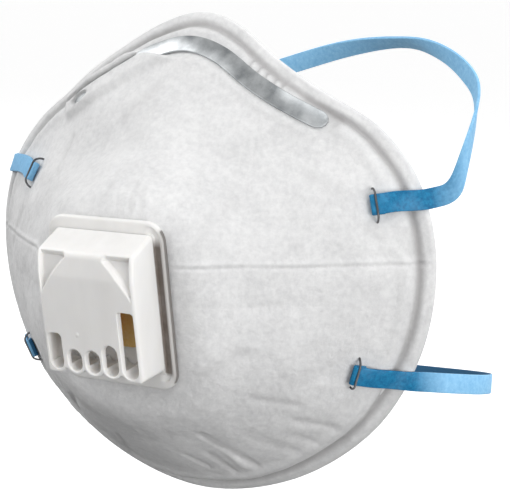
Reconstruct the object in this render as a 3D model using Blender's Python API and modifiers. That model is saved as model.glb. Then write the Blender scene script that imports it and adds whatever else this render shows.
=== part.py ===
"""Disposable dust mask: a moulded cup half-mask with an exhalation valve, a nose clip and two head straps.

The mask stands as it is worn: +Z is up, the cup bulges towards -Y, and the face goes in from +Y.
The origin is the centre of the face opening, in the plane of the rim's rear face.
"""
import math

import bmesh
import bpy
from mathutils import Matrix, Vector

MM = 0.001
GAP = 0.3 * MM                      # clearance between pieces that touch on the real mask
SMOOTH_ANGLE = math.radians(30)

# ---- Cup ------------------------------------------------------------------------------------
# Right half of the rim's outline as (x, z), from the nose peak down to the chin
RIM_HALF = [(0.0, 70.0), (12.0, 67.0), (26.0, 58.6), (41.0, 49.2), (55.5, 39.8), (66.0, 26.0),
            (70.2, 6.0), (66.0, -17.0), (52.5, -38.5), (29.0, -54.8), (0.0, -61.5)]
CUP_DEPTH = 50.0 * MM
SIDE_POWER, UPPER_POWER, LOWER_POWER = 1.38, 1.24, 1.90   # higher is a fuller meridian
RIM_FLARE = 0.35                    # eases the wall's slope where it runs out into the rim
RIM_THICKNESS = 1.5 * MM
NOSE_SET_BACK = 5.5 * MM            # how far the rim beside the nose bends forward of the plane
NOSE_PINCH_X, NOSE_PINCH_SPREAD = 30.0 * MM, 16.0 * MM
NOSE_FROM_Z, NOSE_FULL_Z = 30.0 * MM, 52.0 * MM
NOSE_FROM_OUT = 0.55                # the bend fades out this far in from the rim
AROUND = 56                         # facets round the cup
SLOPE_STEP = 0.004                  # step in turn and out for the surface's slope

# Outer face of each layer below the cup's outer surface, and its thickness
COVER_WEB = (0.0, 0.6 * MM)
FILTER_WEB = (0.9 * MM, 0.9 * MM)
SHELL = (2.1 * MM, 1.4 * MM)
WALL = 3.5 * MM
# Rings of facets, as fractions of the way out to the rim, from the valve's hole to the layers' edge
LAYER_RINGS = [0.19, 0.29, 0.40, 0.51, 0.61, 0.70, 0.79, 0.87, 0.945]
WELD_RING = 0.955                   # inner edge of the welded rim

# ---- Exhalation valve: u to the wearer's left, v up, w out of the cup -------------------------
VALVE_TILT = math.radians(8.5)      # it faces slightly down
VALVE_CENTRE = Vector((0.0, -41.2, -2.2)) * MM
PAD_HALF_WIDTH, PAD_HALF_HEIGHT = 27.0 * MM, 31.0 * MM    # the flat pressed into the cup for it
PAD_FLAT_TO, PAD_BLEND = 0.66, 0.6  # it is flat to this part of its half size, then blends out
FLANGE_WIDTH, FLANGE_HEIGHT, FLANGE_THICKNESS = 36.0 * MM, 44.0 * MM, 1.5 * MM
FLANGE_CORNER = 5.0 * MM
FLANGE_FRONT = GAP + FLANGE_THICKNESS
ORIFICE_RADIUS, NECK_RADIUS, SEAL_HEIGHT = 8.0 * MM, 9.4 * MM, 1.2 * MM
SEAT_TOP = FLANGE_FRONT + SEAL_HEIGHT
FLAP_WIDTH, FLAP_THICKNESS = 22.0 * MM, 0.5 * MM
FLAP_BOTTOM, FLAP_HINGE, FLAP_TOP = -10.6 * MM, 9.9 * MM, 13.0 * MM
FLAP_CORNER = 4.0 * MM
CLAMP_BAR_V, CLAMP_BAR_HEIGHT = 11.8 * MM, 2.6 * MM       # the ridge under the clamped edge
NECK_BACK = -WALL - 0.4 * MM
RIB_HALF_WIDTH, RIB_BACK, RIB_FRONT = 0.6 * MM, -0.4 * MM, 1.5 * MM
BURIED = 0.5 * MM                   # how far joined pieces reach into each other
COVER_WIDTH, COVER_WALL = 30.0 * MM, 1.2 * MM
COVER_TOP, COVER_SHOULDER, COVER_BOTTOM = 18.8 * MM, 15.4 * MM, -18.2 * MM
COVER_BACK = FLANGE_FRONT + GAP
COVER_FRONT_TOP, COVER_FRONT_BOTTOM = 9.6 * MM, 11.8 * MM
COVER_ROUNDING = 1.0 * MM
SLOT_BOTTOM, SLOT_WIDTH = -16.8 * MM, 4.2 * MM
# (centre u, top v, whether the top is round) of the five openings in the cover's front
SLOTS = [(-11.2 * MM, -1.0 * MM, False), (-5.6 * MM, -9.6 * MM, True), (0.0, -9.6 * MM, True),
         (5.6 * MM, -9.6 * MM, True), (11.2 * MM, -1.0 * MM, False)]

# ---- Nose clip and foam -----------------------------------------------------------------------
CLIP_RING, CLIP_END_RING = 0.88, 0.915     # the strip runs nearer to the rim at its ends
CLIP_HALF_WIDTH, CLIP_THICKNESS, CLIP_CLEARANCE = 2.5 * MM, 0.8 * MM, 0.6 * MM
CLIP_HALF_LENGTH, CLIP_STATIONS = 47.0 * MM, 33
CLIP_BLUNT_END = 0.35 * MM          # its round ends are cut off this near to the tip
FOAM_RINGS = (0.80, 0.87, 0.93)
FOAM_HALF_LENGTH, FOAM_STATIONS = 42.0 * MM, 21
FOAM_THICKNESS, FOAM_CLEARANCE = 3.6 * MM, 0.8 * MM

# ---- Straps -----------------------------------------------------------------------------------
STRAP_WIDTH, STRAP_THICKNESS = 5.2 * MM, 0.8 * MM
STAPLE_WIRE = 0.35 * MM             # radius
STAPLE_WIDTH = 9.6 * MM
STAPLE_LEG_END = 0.6 * MM           # how near the bent legs' ends come to the middle
FOLD_LENGTH, FOLD_PAST_STAPLE = 5.0 * MM, 0.5 * MM
OVER_CUP_STATIONS = 6
STRAP_CLEARANCE = 0.65 * MM         # between the strap's underside and the cup beyond the fold
# x and z of the staples on the cup, at the right and the left end of each strap
UPPER_STAPLES = [(57.2, 22.5), (-46.0, 25.5)]
LOWER_STAPLES = [(53.4, -20.5), (-52.8, -25.8)]
# Free loops as (place, direction of the band's width), from the right rim edge to the left one
UPPER_LOOP = [((69.6, 0.8, 24.5), (0.00, 0.00, 1.00)), ((72.4, 3.0, 25.4), (-0.25, -0.30, 0.95)),
              ((74.0, 5.2, 31.5), (-0.10, -0.85, 0.50)),
              ((73.9, 14.0, 47.5), (0.48, -0.69, 0.55)), ((68.0, 20.0, 54.5), (0.60, -0.40, 0.62)),
              ((56.0, 27.0, 60.0), (0.30, -0.60, 0.65)), ((41.0, 35.0, 61.7), (0.00, -0.86, 0.50)),
              ((22.0, 40.5, 59.6), (0.00, -0.60, 0.80)), ((0.0, 43.0, 54.0), (0.00, -0.10, 1.00)),
              ((-25.0, 43.0, 46.5), (0.00, 0.10, 1.00)), ((-49.0, 37.0, 39.0), (0.10, 0.20, 1.00)),
              ((-65.0, 25.0, 32.0), (0.15, 0.20, 1.00)), ((-70.0, 12.0, 27.6), (0.20, 0.10, 1.00)),
              ((-67.0, 0.8, 26.2), (0.40, 0.00, 0.92))]
LOWER_LOOP = [((65.4, 0.8, -23.6), (0.00, 0.00, 1.00)), ((71.5, 8.0, -24.8), (0.00, 0.05, 1.00)),
              ((75.5, 17.0, -26.4), (0.00, 0.10, 1.00)), ((73.0, 28.0, -28.5), (0.00, 0.12, 1.00)),
              ((63.0, 38.5, -31.0), (0.00, 0.15, 1.00)), ((44.0, 47.0, -33.5), (0.00, 0.18, 1.00)),
              ((15.0, 52.0, -35.5), (0.00, 0.18, 1.00)), ((-15.0, 52.0, -35.5), (0.00, 0.18, 1.00)),
              ((-46.0, 48.0, -33.5), (0.00, 0.18, 1.00)), ((-69.0, 38.0, -30.5), (0.00, 0.15, 1.00)),
              ((-76.5, 25.0, -29.0), (-0.10, 0.10, 1.00)), ((-71.5, 11.0, -28.0), (-0.30, 0.05, 0.95)),
              ((-62.3, 0.8, -27.0), (-0.55, 0.00, 0.84))]
LOOP_STATIONS = 46
BEND_GAP = 1.0 * MM                 # on each side of the line that a free loop swings about
# A loop narrows to this width over this length at its ends, to clear the stapled ends as it swings
LOOP_END_WIDTH, LOOP_END_TAPER = 2.6 * MM, 1.8 * MM


# ---- Scene and small tools --------------------------------------------------------------------
def clear_scene():
    for obj in list(bpy.data.objects):
        bpy.data.objects.remove(obj, do_unlink=True)


def new_collection(name, helper=False):
    collection = bpy.data.collections.new(name)
    bpy.context.scene.collection.children.link(collection)
    collection.hide_render = helper
    return collection


def material(name, colour, roughness, metallic=0.0):
    made = bpy.data.materials.new(name)
    made.use_nodes = True
    shader = made.node_tree.nodes["Principled BSDF"]
    shader.inputs["Base Color"].default_value = (*colour, 1.0)
    shader.inputs["Roughness"].default_value = roughness
    shader.inputs["Metallic"].default_value = metallic
    return made


def finish_mesh(name, bm, look, collection):
    """Makes an object from a bmesh, with its faces turned out."""
    bmesh.ops.recalc_face_normals(bm, faces=bm.faces)
    mesh = bpy.data.meshes.new(name)
    bm.to_mesh(mesh)
    bm.free()
    mesh.shade_smooth()
    mesh.set_sharp_from_angle(angle=SMOOTH_ANGLE)
    mesh.materials.append(look)
    obj = bpy.data.objects.new(name, mesh)
    collection.objects.link(obj)
    return obj


def as_helper(obj):
    """Marks an object that only cuts or joins, and is no piece of the mask."""
    obj.display_type = "WIRE"
    obj.hide_render = True
    return obj


def set_origin(obj, point):
    """Moves an object's origin to a point and leaves its shape where it is."""
    obj.data.transform(Matrix.Translation(-point))
    obj.location = point


def loft(name, sections, look, collection, closed=False):
    """Skins a row of sections, each a ring of the same number of points."""
    bm = bmesh.new()
    rings = [[bm.verts.new(point) for point in section] for section in sections]
    count = len(rings[0])
    pairs = list(zip(rings, rings[1:]))
    if closed:
        pairs.append((rings[-1], rings[0]))
    for ring, following in pairs:
        for i in range(count):
            j = (i + 1) % count
            bm.faces.new((ring[i], ring[j], following[j], following[i]))
    if not closed:
        bm.faces.new(rings[0])
        bm.faces.new(rings[-1])
    return finish_mesh(name, bm, look, collection)


def catmull_rom(points, t, closed=False):
    """A point on the smooth curve through the points; t runs from 0 to their count, or to one less."""
    count = len(points)
    last = count if closed else count - 1
    i = min(int(t), last - 1)
    s = t - i

    def at(k):
        if closed:
            return points[k % count]
        if k < 0:
            return points[0] * 2 - points[1]
        if k >= count:
            return points[-1] * 2 - points[-2]
        return points[k]

    a, b, c, d = at(i - 1), at(i), at(i + 1), at(i + 2)
    return (b * 2 + (c - a) * s + (a * 2 - b * 5 + c * 4 - d) * s ** 2
            + (b * 3 - a - c * 3 + d) * s ** 3) / 2


def smoothstep(x):
    x = min(max(x, 0.0), 1.0)
    return x * x * (3 - 2 * x)


# ---- The cup's surface --------------------------------------------------------------------------
RIM_POINTS = ([Vector((x, 0.0, z)) * MM for x, z in RIM_HALF]
              + [Vector((-x, 0.0, z)) * MM for x, z in RIM_HALF[-2:0:-1]])


def nose_bend(x, z):
    """How far the rim bends forward beside the nose."""
    beside = math.exp(-((abs(x) - NOSE_PINCH_X) / NOSE_PINCH_SPREAD) ** 2)
    return -NOSE_SET_BACK * beside * smoothstep((z - NOSE_FROM_Z) / (NOSE_FULL_Z - NOSE_FROM_Z))


def cup_point(turn, out):
    """The cup's outer surface: turn goes round from the nose, out from the valve to the rim's edge."""
    rim = catmull_rom(RIM_POINTS, turn % 1.0 * len(RIM_POINTS), closed=True)
    centre = Vector((0.0, 0.0, VALVE_CENTRE.z))
    spoke = rim - centre
    rise = spoke.z / spoke.length
    if rise > 0:
        power = SIDE_POWER + (UPPER_POWER - SIDE_POWER) * rise ** 1.5
    else:
        power = SIDE_POWER + (LOWER_POWER - SIDE_POWER) * -rise
    place = centre + spoke * out
    depth = 1 - out ** power - RIM_FLARE * out ** 8 * (1 - out)
    place.y = -RIM_THICKNESS - (CUP_DEPTH - RIM_THICKNESS) * depth
    place.y += nose_bend(rim.x, rim.z) * smoothstep((out - NOSE_FROM_OUT) / (1 - NOSE_FROM_OUT))
    # The wall is pressed flat where the valve's flange sits
    up = place.z - VALVE_CENTRE.z
    flat = VALVE_CENTRE.y - math.tan(VALVE_TILT) * up
    reach = ((abs(place.x) / PAD_HALF_WIDTH) ** 3 + (abs(up) / PAD_HALF_HEIGHT) ** 3) ** (1 / 3)
    place.y += (flat - place.y) * (1 - smoothstep((reach - PAD_FLAT_TO) / PAD_BLEND))
    return place


def cup_normal(turn, out):
    along = cup_point(turn + SLOPE_STEP, out) - cup_point(turn - SLOPE_STEP, out)
    outward = cup_point(turn, out + SLOPE_STEP) - cup_point(turn, out - SLOPE_STEP)
    normal = along.cross(outward).normalized()
    return -normal if normal.y > 0 else normal


def on_cup(turn, out, height=0.0):
    return cup_point(turn, out) + cup_normal(turn, out) * height


def bearing(x, z):
    """Clockwise angle from straight up, seen from the front, about the valve's centre."""
    return math.atan2(x, z - VALVE_CENTRE.z) % math.tau


def find_on_cup(x, z):
    """The (turn, out) of the place on the cup seen from the front at x, z."""
    low, high = 0.0, 1.0
    for _ in range(40):
        middle = (low + high) / 2
        rim = cup_point(middle, 1.0)
        if bearing(rim.x, rim.z) < bearing(x, z):
            low = middle
        else:
            high = middle
    rim = cup_point(low, 1.0)
    return low, math.hypot(x, z - VALVE_CENTRE.z) / math.hypot(rim.x, rim.z - VALVE_CENTRE.z)


def cup_layer(name, layer, look, collection):
    """One layer of the wall: an open surface at its depth, thickened inwards."""
    depth, thickness = layer
    bm = bmesh.new()
    rings = [[bm.verts.new(on_cup(i / AROUND, out, -depth)) for i in range(AROUND)]
             for out in LAYER_RINGS]
    for inner, outer in zip(rings, rings[1:]):
        for i in range(AROUND):
            j = (i + 1) % AROUND
            bm.faces.new((inner[i], outer[i], outer[j], inner[j]))
    obj = finish_mesh(name, bm, look, collection)
    if obj.data.polygons[0].normal.y > 0:
        obj.data.flip_normals()
    solidify = obj.modifiers.new("thickness", "SOLIDIFY")
    solidify.thickness = thickness
    solidify.offset = -1.0
    return obj


def rim_weld(look, collection):
    """The strip where the layers are melted into one; its rear face is flat but for the nose."""
    sections = []
    for i in range(AROUND):
        inner, outer = (cup_point(i / AROUND, out) for out in (WELD_RING, 1.0))
        rear_y = nose_bend(outer.x, outer.z)
        rear = [Vector((point.x, rear_y, point.z)) for point in (outer, inner)]
        sections.append([inner, outer] + rear)
    loft("rim_weld", sections, look, collection, closed=True)


# ---- Bands -----------------------------------------------------------------------------------
def band_section(place, across, normal, width, thickness):
    side = across * (width / 2)
    up = normal * (thickness / 2)
    return [place - side - up, place + side - up, place + side + up, place - side + up]


def band(name, places, widths, look, collection, end_width=STRAP_WIDTH):
    """A flat band through the places; widths gives the direction of its width at each."""
    sections = []
    last = len(places) - 1
    for i, place in enumerate(places):
        ahead = (places[min(i + 1, last)] - places[max(i - 1, 0)]).normalized()
        across = (widths[i] - ahead * widths[i].dot(ahead)).normalized()
        width = end_width if i in (0, last) else STRAP_WIDTH
        sections.append(band_section(place, across, ahead.cross(across), width, STRAP_THICKNESS))
    return loft(name, sections, look, collection)


def strap_loop(name, loop, look, collection):
    """The free part of a head strap. Its origin is on the line that it swings about."""
    places = [Vector(place) * MM for place, _ in loop]
    widths = [Vector(width).normalized() for _, width in loop]
    last = len(loop) - 1
    near = [length / (places[1] - places[0]).length for length in (BEND_GAP, BEND_GAP + LOOP_END_TAPER)]
    far = [last - length / (places[-1] - places[-2]).length
           for length in (BEND_GAP + LOOP_END_TAPER, BEND_GAP)]
    between = [near[1] + (far[0] - near[1]) * i / (LOOP_STATIONS - 1) for i in range(LOOP_STATIONS)]
    steps = near[:1] + between + far[1:]
    obj = band(name, [catmull_rom(places, t) for t in steps], [catmull_rom(widths, t) for t in steps],
               look, collection, LOOP_END_WIDTH)
    right, left = places[0], places[-1]
    set_origin(obj, right.lerp(left, right.x / (right.x - left.x)))


def strap_frame(spot, loop_end):
    """Frame of a stapled end: x runs out to the rim, y is across the strap, z is out of the cup."""
    turn, out = find_on_cup(spot[0] * MM, spot[1] * MM)
    foot, normal = cup_point(turn, out), cup_normal(turn, out)
    outward = Vector(loop_end[0]) * MM - foot
    outward = (outward - normal * outward.dot(normal)).normalized()
    frame = Matrix((outward, normal.cross(outward), normal)).transposed().to_4x4()
    frame.translation = foot
    return frame


def strap_end(name, frame, loop_end, look, collection):
    """The stapled end: it lies on the cup with its tip folded under, and runs out over the rim."""
    low = GAP + STRAP_THICKNESS / 2
    high = low + STRAP_THICKNESS + GAP
    radius = (high - low) / 2
    tip = -FOLD_PAST_STAPLE
    profile = [(tip + FOLD_LENGTH, low), (tip, low)]
    for i in range(1, 6):
        angle = math.pi * i / 6
        profile.append((tip - radius * math.sin(angle), low + radius - radius * math.cos(angle)))
    profile += [(tip, high), (tip + FOLD_LENGTH, high)]
    places = [frame @ Vector((along, 0.0, height)) for along, height in profile]
    across = frame.to_3x3() @ Vector((0.0, 1.0, 0.0))
    across = across if across.z > 0 else -across
    widths = [across] * len(places)
    exit_point = Vector(loop_end[0]) * MM
    exit_width = Vector(loop_end[1]).normalized()
    start_turn, start_out = find_on_cup(places[-1].x, places[-1].z)
    exit_turn, _ = find_on_cup(exit_point.x, exit_point.z)
    for i in range(1, OVER_CUP_STATIONS + 1):
        part_way = i / OVER_CUP_STATIONS
        turn = start_turn + (exit_turn - start_turn) * part_way
        out = start_out + (1.0 - start_out) * part_way
        sunk = (high - STRAP_CLEARANCE - STRAP_THICKNESS / 2) * smoothstep(2 * part_way)
        places.append(on_cup(turn, out, high - sunk))
        width, normal = across.lerp(exit_width, part_way), cup_normal(turn, out)
        widths.append(width - normal * width.dot(normal))
    places.append(exit_point - (exit_point - places[-1]).normalized() * BEND_GAP)
    widths.append(exit_width)
    band(name, places, widths, look, collection)


def staple(name, frame, look, collection):
    """A wire staple over the strap, its legs through the cup's wall and bent over inside."""
    top = 3 * GAP + 2 * STRAP_THICKNESS + STAPLE_WIRE
    inside = -(WALL + GAP + STAPLE_WIRE)
    half = STAPLE_WIDTH / 2 - STAPLE_WIRE
    shape = [(STAPLE_LEG_END, inside), (half, inside), (half, top)]
    shape += [(-across, height) for across, height in reversed(shape)]
    curve = bpy.data.curves.new(name, "CURVE")
    curve.dimensions = "3D"
    curve.bevel_depth = STAPLE_WIRE
    curve.bevel_resolution = 1
    curve.use_fill_caps = True
    spline = curve.splines.new("POLY")
    spline.points.add(len(shape) - 1)
    for point, (across, height) in zip(spline.points, shape):
        point.co = (0.0, across, height, 1.0)
    curve.materials.append(look)
    obj = bpy.data.objects.new(name, curve)
    obj.matrix_world = frame
    collection.objects.link(obj)


def leg_cutter(name, frame, look, collection):
    """Two square pins that clear a staple's legs through the wall."""
    bm = bmesh.new()
    size = 2 * (STAPLE_WIRE + GAP)
    for way in (-1, 1):
        centre = Vector((0.0, way * (STAPLE_WIDTH / 2 - STAPLE_WIRE), -WALL / 2))
        scale = Matrix.Diagonal((size, size, 3 * WALL, 1.0))
        bmesh.ops.create_cube(bm, size=1.0, matrix=Matrix.Translation(centre) @ scale)
    cutter = finish_mesh(name, bm, look, collection)
    cutter.matrix_world = frame
    return as_helper(cutter)


# ---- Valve -----------------------------------------------------------------------------------
def valve_frame():
    """Takes (u, v, w) to the world: u across, v up along the flange, w out of the cup."""
    u = Vector((1.0, 0.0, 0.0))
    v = Vector((0.0, -math.sin(VALVE_TILT), math.cos(VALVE_TILT)))
    w = Vector((0.0, -math.cos(VALVE_TILT), -math.sin(VALVE_TILT)))
    frame = Matrix((u, v, w)).transposed().to_4x4()
    frame.translation = VALVE_CENTRE
    return frame


def rounded_outline(width, height, corner, centre_v=0.0, steps=4):
    points = []
    for sign_u, sign_v, first in ((1, 1, 0), (-1, 1, 1), (-1, -1, 2), (1, -1, 3)):
        for i in range(steps + 1):
            angle = (first + i / steps) * math.pi / 2
            points.append((sign_u * (width / 2 - corner) + corner * math.cos(angle),
                           centre_v + sign_v * (height / 2 - corner) + corner * math.sin(angle)))
    return points


def prism(name, outline, low, high, look, collection):
    """A flat outline in u, v, extruded from w = low to w = high and set in the valve's frame."""
    obj = loft(name, [[(u, v, w) for u, v in outline] for w in (low, high)], look, collection)
    obj.matrix_world = valve_frame()
    return obj


def disc(radius, steps=28):
    return [(radius * math.cos(math.tau * i / steps), radius * math.sin(math.tau * i / steps))
            for i in range(steps)]


def join_by(operation, base, others):
    for other in others:
        boolean = base.modifiers.new(operation.lower() + " " + other.name, "BOOLEAN")
        boolean.operation = operation
        boolean.object = other
        boolean.solver = "EXACT"


def valve_seat(look, parts, helpers):
    """Flange, neck through the wall with its sealing ridge, cross ribs and clamp bar."""
    def extra(name, outline, low, high):
        return as_helper(prism(name, outline, low, high, look, helpers))

    seat = prism("valve_seat", rounded_outline(FLANGE_WIDTH, FLANGE_HEIGHT, FLANGE_CORNER), GAP,
                 FLANGE_FRONT, look, parts)
    neck = extra("seat neck", disc(NECK_RADIUS), NECK_BACK, SEAT_TOP)
    bar_outline = rounded_outline(FLAP_WIDTH, CLAMP_BAR_HEIGHT, CLAMP_BAR_HEIGHT / 4, CLAMP_BAR_V)
    bar = extra("seat clamp bar", bar_outline, FLANGE_FRONT - BURIED, SEAT_TOP)
    join_by("UNION", seat, [neck, bar])
    bore = extra("seat bore", disc(ORIFICE_RADIUS), 2 * NECK_BACK, 2 * SEAT_TOP)
    join_by("DIFFERENCE", seat, [bore])
    reach = ORIFICE_RADIUS + BURIED
    cross = [(RIB_HALF_WIDTH, reach), (-RIB_HALF_WIDTH, reach), (-RIB_HALF_WIDTH, RIB_HALF_WIDTH)]
    cross = [(u * math.cos(angle) - v * math.sin(angle), u * math.sin(angle) + v * math.cos(angle))
             for angle in (math.pi / 2 * quarter for quarter in range(4)) for u, v in cross]
    join_by("UNION", seat, [extra("seat cross ribs", cross, RIB_BACK, RIB_FRONT)])


def valve_flap(look, parts):
    """The rubber flap, free below its hinge line, and its upper edge clamped on the seat."""
    low, high = SEAT_TOP + GAP, SEAT_TOP + GAP + FLAP_THICKNESS
    half = FLAP_WIDTH / 2
    outline = [(half, FLAP_HINGE), (-half, FLAP_HINGE)]
    for sign, first in ((-1, 2), (1, 3)):
        for i in range(5):
            angle = (first + i / 4) * math.pi / 2
            outline.append((sign * (half - FLAP_CORNER) + FLAP_CORNER * math.cos(angle),
                            FLAP_BOTTOM + FLAP_CORNER + FLAP_CORNER * math.sin(angle)))
    flap = prism("valve_flap", outline, low, high, look, parts)
    hinge = Vector((0.0, FLAP_HINGE, low))
    flap.data.transform(Matrix.Translation(-hinge))
    flap.matrix_world = valve_frame() @ Matrix.Translation(hinge)
    root = [(-half, FLAP_HINGE + GAP), (half, FLAP_HINGE + GAP), (half, FLAP_TOP), (-half, FLAP_TOP)]
    prism("flap_clamped_edge", root, low, high, look, parts)


def slot_end(centre_u, centre_v, first_angle):
    """Half a circle that rounds one end of a slot, anticlockwise from its first angle."""
    angles = [first_angle + math.pi * i / 6 for i in range(7)]
    return [(centre_u + SLOT_WIDTH / 2 * math.cos(angle), centre_v + SLOT_WIDTH / 2 * math.sin(angle))
            for angle in angles]


def valve_cover(look, parts, helpers):
    """Box-like cover, hollow from behind, with a sloping top and five exhaust slots low in its front."""
    def block(name, half_width, profile, collection):
        sections = [[(side * half_width, v, w) for v, w in profile] for side in (-1, 1)]
        made = loft(name, sections, look, collection)
        made.matrix_world = valve_frame()
        return made

    profile = [(COVER_TOP, COVER_BACK), (COVER_SHOULDER, COVER_FRONT_TOP),
               (COVER_BOTTOM, COVER_FRONT_BOTTOM), (COVER_BOTTOM, COVER_BACK)]
    cover = block("valve_cover", COVER_WIDTH / 2, profile, parts)
    bevel = cover.modifiers.new("rounded edges", "BEVEL")
    bevel.width = COVER_ROUNDING
    bevel.segments = 2
    bevel.limit_method = "ANGLE"
    wall = COVER_WALL
    hollow_profile = [(COVER_TOP - 1.5 * wall, COVER_BACK - BURIED),
                      (COVER_SHOULDER - wall, COVER_FRONT_TOP - wall),
                      (COVER_BOTTOM + wall, COVER_FRONT_BOTTOM - wall),
                      (COVER_BOTTOM + wall, COVER_BACK - BURIED)]
    half = SLOT_WIDTH / 2
    cutters = [block("cover hollow", COVER_WIDTH / 2 - wall, hollow_profile, helpers)]
    for number, (centre, top, round_top) in enumerate(SLOTS):
        outline = slot_end(centre, SLOT_BOTTOM + half, math.pi)
        if round_top:
            outline += slot_end(centre, top - half, 0.0)
        else:
            outline += [(centre + half, top), (centre - half, top)]
        cutters.append(prism(f"cover slot {number}", outline, COVER_FRONT_TOP - 3 * wall,
                             COVER_FRONT_BOTTOM + 3 * wall, look, helpers))
    join_by("DIFFERENCE", cover, [as_helper(cutter) for cutter in cutters])


# ---- Nose -----------------------------------------------------------------------------------
def along_nose(half_length, ring, count):
    """Turns, from left to right, of places spread over the nose at one ring."""
    reach, length, step = 0.0, 0.0, 0.001
    while length < half_length:
        length += (cup_point(reach + step, ring) - cup_point(reach, ring)).length
        reach += step
    return [reach * (2 * i / (count - 1) - 1) for i in range(count)]


def nose_clip(look, collection):
    """A soft aluminium strip with round ends, bent over the nose on the outside."""
    sections = []
    turns = along_nose(CLIP_HALF_LENGTH, CLIP_RING, CLIP_STATIONS)
    for turn in turns:
        part_way = abs(turn / turns[0])
        ring = CLIP_RING + (CLIP_END_RING - CLIP_RING) * part_way ** 2
        to_end = (1 - part_way) * CLIP_HALF_LENGTH + CLIP_BLUNT_END
        short = 1 - min(to_end / CLIP_HALF_WIDTH, 1.0)
        width = 2 * CLIP_HALF_WIDTH * math.sqrt(1 - short ** 2)
        normal = cup_normal(turn, ring)
        along = cup_point(turn + SLOPE_STEP, ring) - cup_point(turn - SLOPE_STEP, ring)
        across = normal.cross(along).normalized()
        base = on_cup(turn, ring, CLIP_CLEARANCE + CLIP_THICKNESS / 2)
        sections.append(band_section(base, across, normal, width, CLIP_THICKNESS))
    loft("nose_clip", sections, look, collection)


def nose_foam(look, collection):
    """A foam strip inside the nose, against the shell's inner face."""
    sections = []
    against = -(WALL + FOAM_CLEARANCE)
    for turn in along_nose(FOAM_HALF_LENGTH, CLIP_RING, FOAM_STATIONS):
        front = [on_cup(turn, out, against) for out in FOAM_RINGS]
        rear = [on_cup(turn, out, against - FOAM_THICKNESS) for out in reversed(FOAM_RINGS)]
        sections.append(front + rear)
    loft("nose_foam", sections, look, collection)


def main():
    clear_scene()
    parts = new_collection("disposable_dust_mask")
    helpers = new_collection("cutters", helper=True)
    nonwoven = material("white nonwoven", (0.86, 0.87, 0.87), 0.9)
    filter_look = material("filter web", (0.80, 0.82, 0.84), 0.9)
    shell_look = material("moulded fibre shell", (0.84, 0.84, 0.82), 0.85)
    valve_white = material("white moulded plastic", (0.88, 0.87, 0.84), 0.4)
    rubber = material("ochre flap rubber", (0.50, 0.27, 0.07), 0.55)
    aluminium = material("soft aluminium", (0.55, 0.58, 0.60), 0.35, 1.0)
    foam = material("grey foam", (0.42, 0.43, 0.45), 0.95)
    elastic = material("blue elastic", (0.10, 0.36, 0.66), 0.6)
    steel = material("steel wire", (0.35, 0.36, 0.38), 0.35, 1.0)

    layers = [cup_layer("outer_cover_web", COVER_WEB, nonwoven, parts),
              cup_layer("filter_web", FILTER_WEB, filter_look, parts),
              cup_layer("moulded_shell", SHELL, shell_look, parts)]
    rim_weld(nonwoven, parts)
    nose_clip(aluminium, parts)
    nose_foam(foam, parts)
    valve_seat(valve_white, parts, helpers)
    valve_flap(rubber, parts)
    valve_cover(valve_white, parts, helpers)
    for level, spots, loop in (("upper", UPPER_STAPLES, UPPER_LOOP), ("lower", LOWER_STAPLES, LOWER_LOOP)):
        strap_loop(f"{level}_strap_loop", loop, elastic, parts)
        for side_name, spot, loop_end in (("right", spots[0], loop[0]), ("left", spots[1], loop[-1])):
            frame = strap_frame(spot, loop_end)
            strap_end(f"{level}_strap_end_{side_name}", frame, loop_end, elastic, parts)
            staple(f"{level}_staple_{side_name}", frame, steel, parts)
            cutter = leg_cutter(f"{level} {side_name} staple holes", frame, steel, helpers)
            for layer in layers:
                join_by("DIFFERENCE", layer, [cutter])


main()
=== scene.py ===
import math

import bmesh
import bpy
import numpy as np
from mathutils import Matrix, Vector, noise


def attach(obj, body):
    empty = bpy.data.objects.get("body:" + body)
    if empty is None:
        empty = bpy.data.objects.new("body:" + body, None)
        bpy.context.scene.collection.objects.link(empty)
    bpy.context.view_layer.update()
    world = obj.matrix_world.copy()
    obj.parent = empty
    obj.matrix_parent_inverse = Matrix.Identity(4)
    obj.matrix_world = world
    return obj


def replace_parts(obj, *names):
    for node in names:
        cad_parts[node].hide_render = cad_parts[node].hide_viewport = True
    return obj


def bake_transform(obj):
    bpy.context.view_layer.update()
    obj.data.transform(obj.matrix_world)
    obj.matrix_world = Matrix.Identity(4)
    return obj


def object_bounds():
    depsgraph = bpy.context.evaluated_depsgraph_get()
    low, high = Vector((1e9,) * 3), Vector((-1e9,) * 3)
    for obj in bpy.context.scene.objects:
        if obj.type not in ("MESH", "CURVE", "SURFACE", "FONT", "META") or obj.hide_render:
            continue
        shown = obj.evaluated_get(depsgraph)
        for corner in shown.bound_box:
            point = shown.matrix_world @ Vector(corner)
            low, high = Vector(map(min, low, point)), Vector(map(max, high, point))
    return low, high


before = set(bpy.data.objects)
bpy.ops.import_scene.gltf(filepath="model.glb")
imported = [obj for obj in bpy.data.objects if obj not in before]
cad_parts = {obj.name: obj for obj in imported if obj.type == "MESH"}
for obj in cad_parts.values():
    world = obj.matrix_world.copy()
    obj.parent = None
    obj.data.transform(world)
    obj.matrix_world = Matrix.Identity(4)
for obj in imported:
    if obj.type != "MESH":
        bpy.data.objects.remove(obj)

CAD_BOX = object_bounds()
MM = 0.001
# Right and left are as seen from the front, so right is +X. A ring is a share of the way from the
# valve's axis, 0, to the rim's edge, 1.

# ---- Camera, fitted to the photograph; side and lift move it in its own picture plane ----
CAMERA_AZIMUTH = math.radians(32.0)
CAMERA_ELEVATION = math.radians(8.695)
CAMERA_DISTANCE = 0.450
CAMERA_SIDE, CAMERA_LIFT = 0.013619, 0.005548
CAMERA_LENS = 115.6

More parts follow.
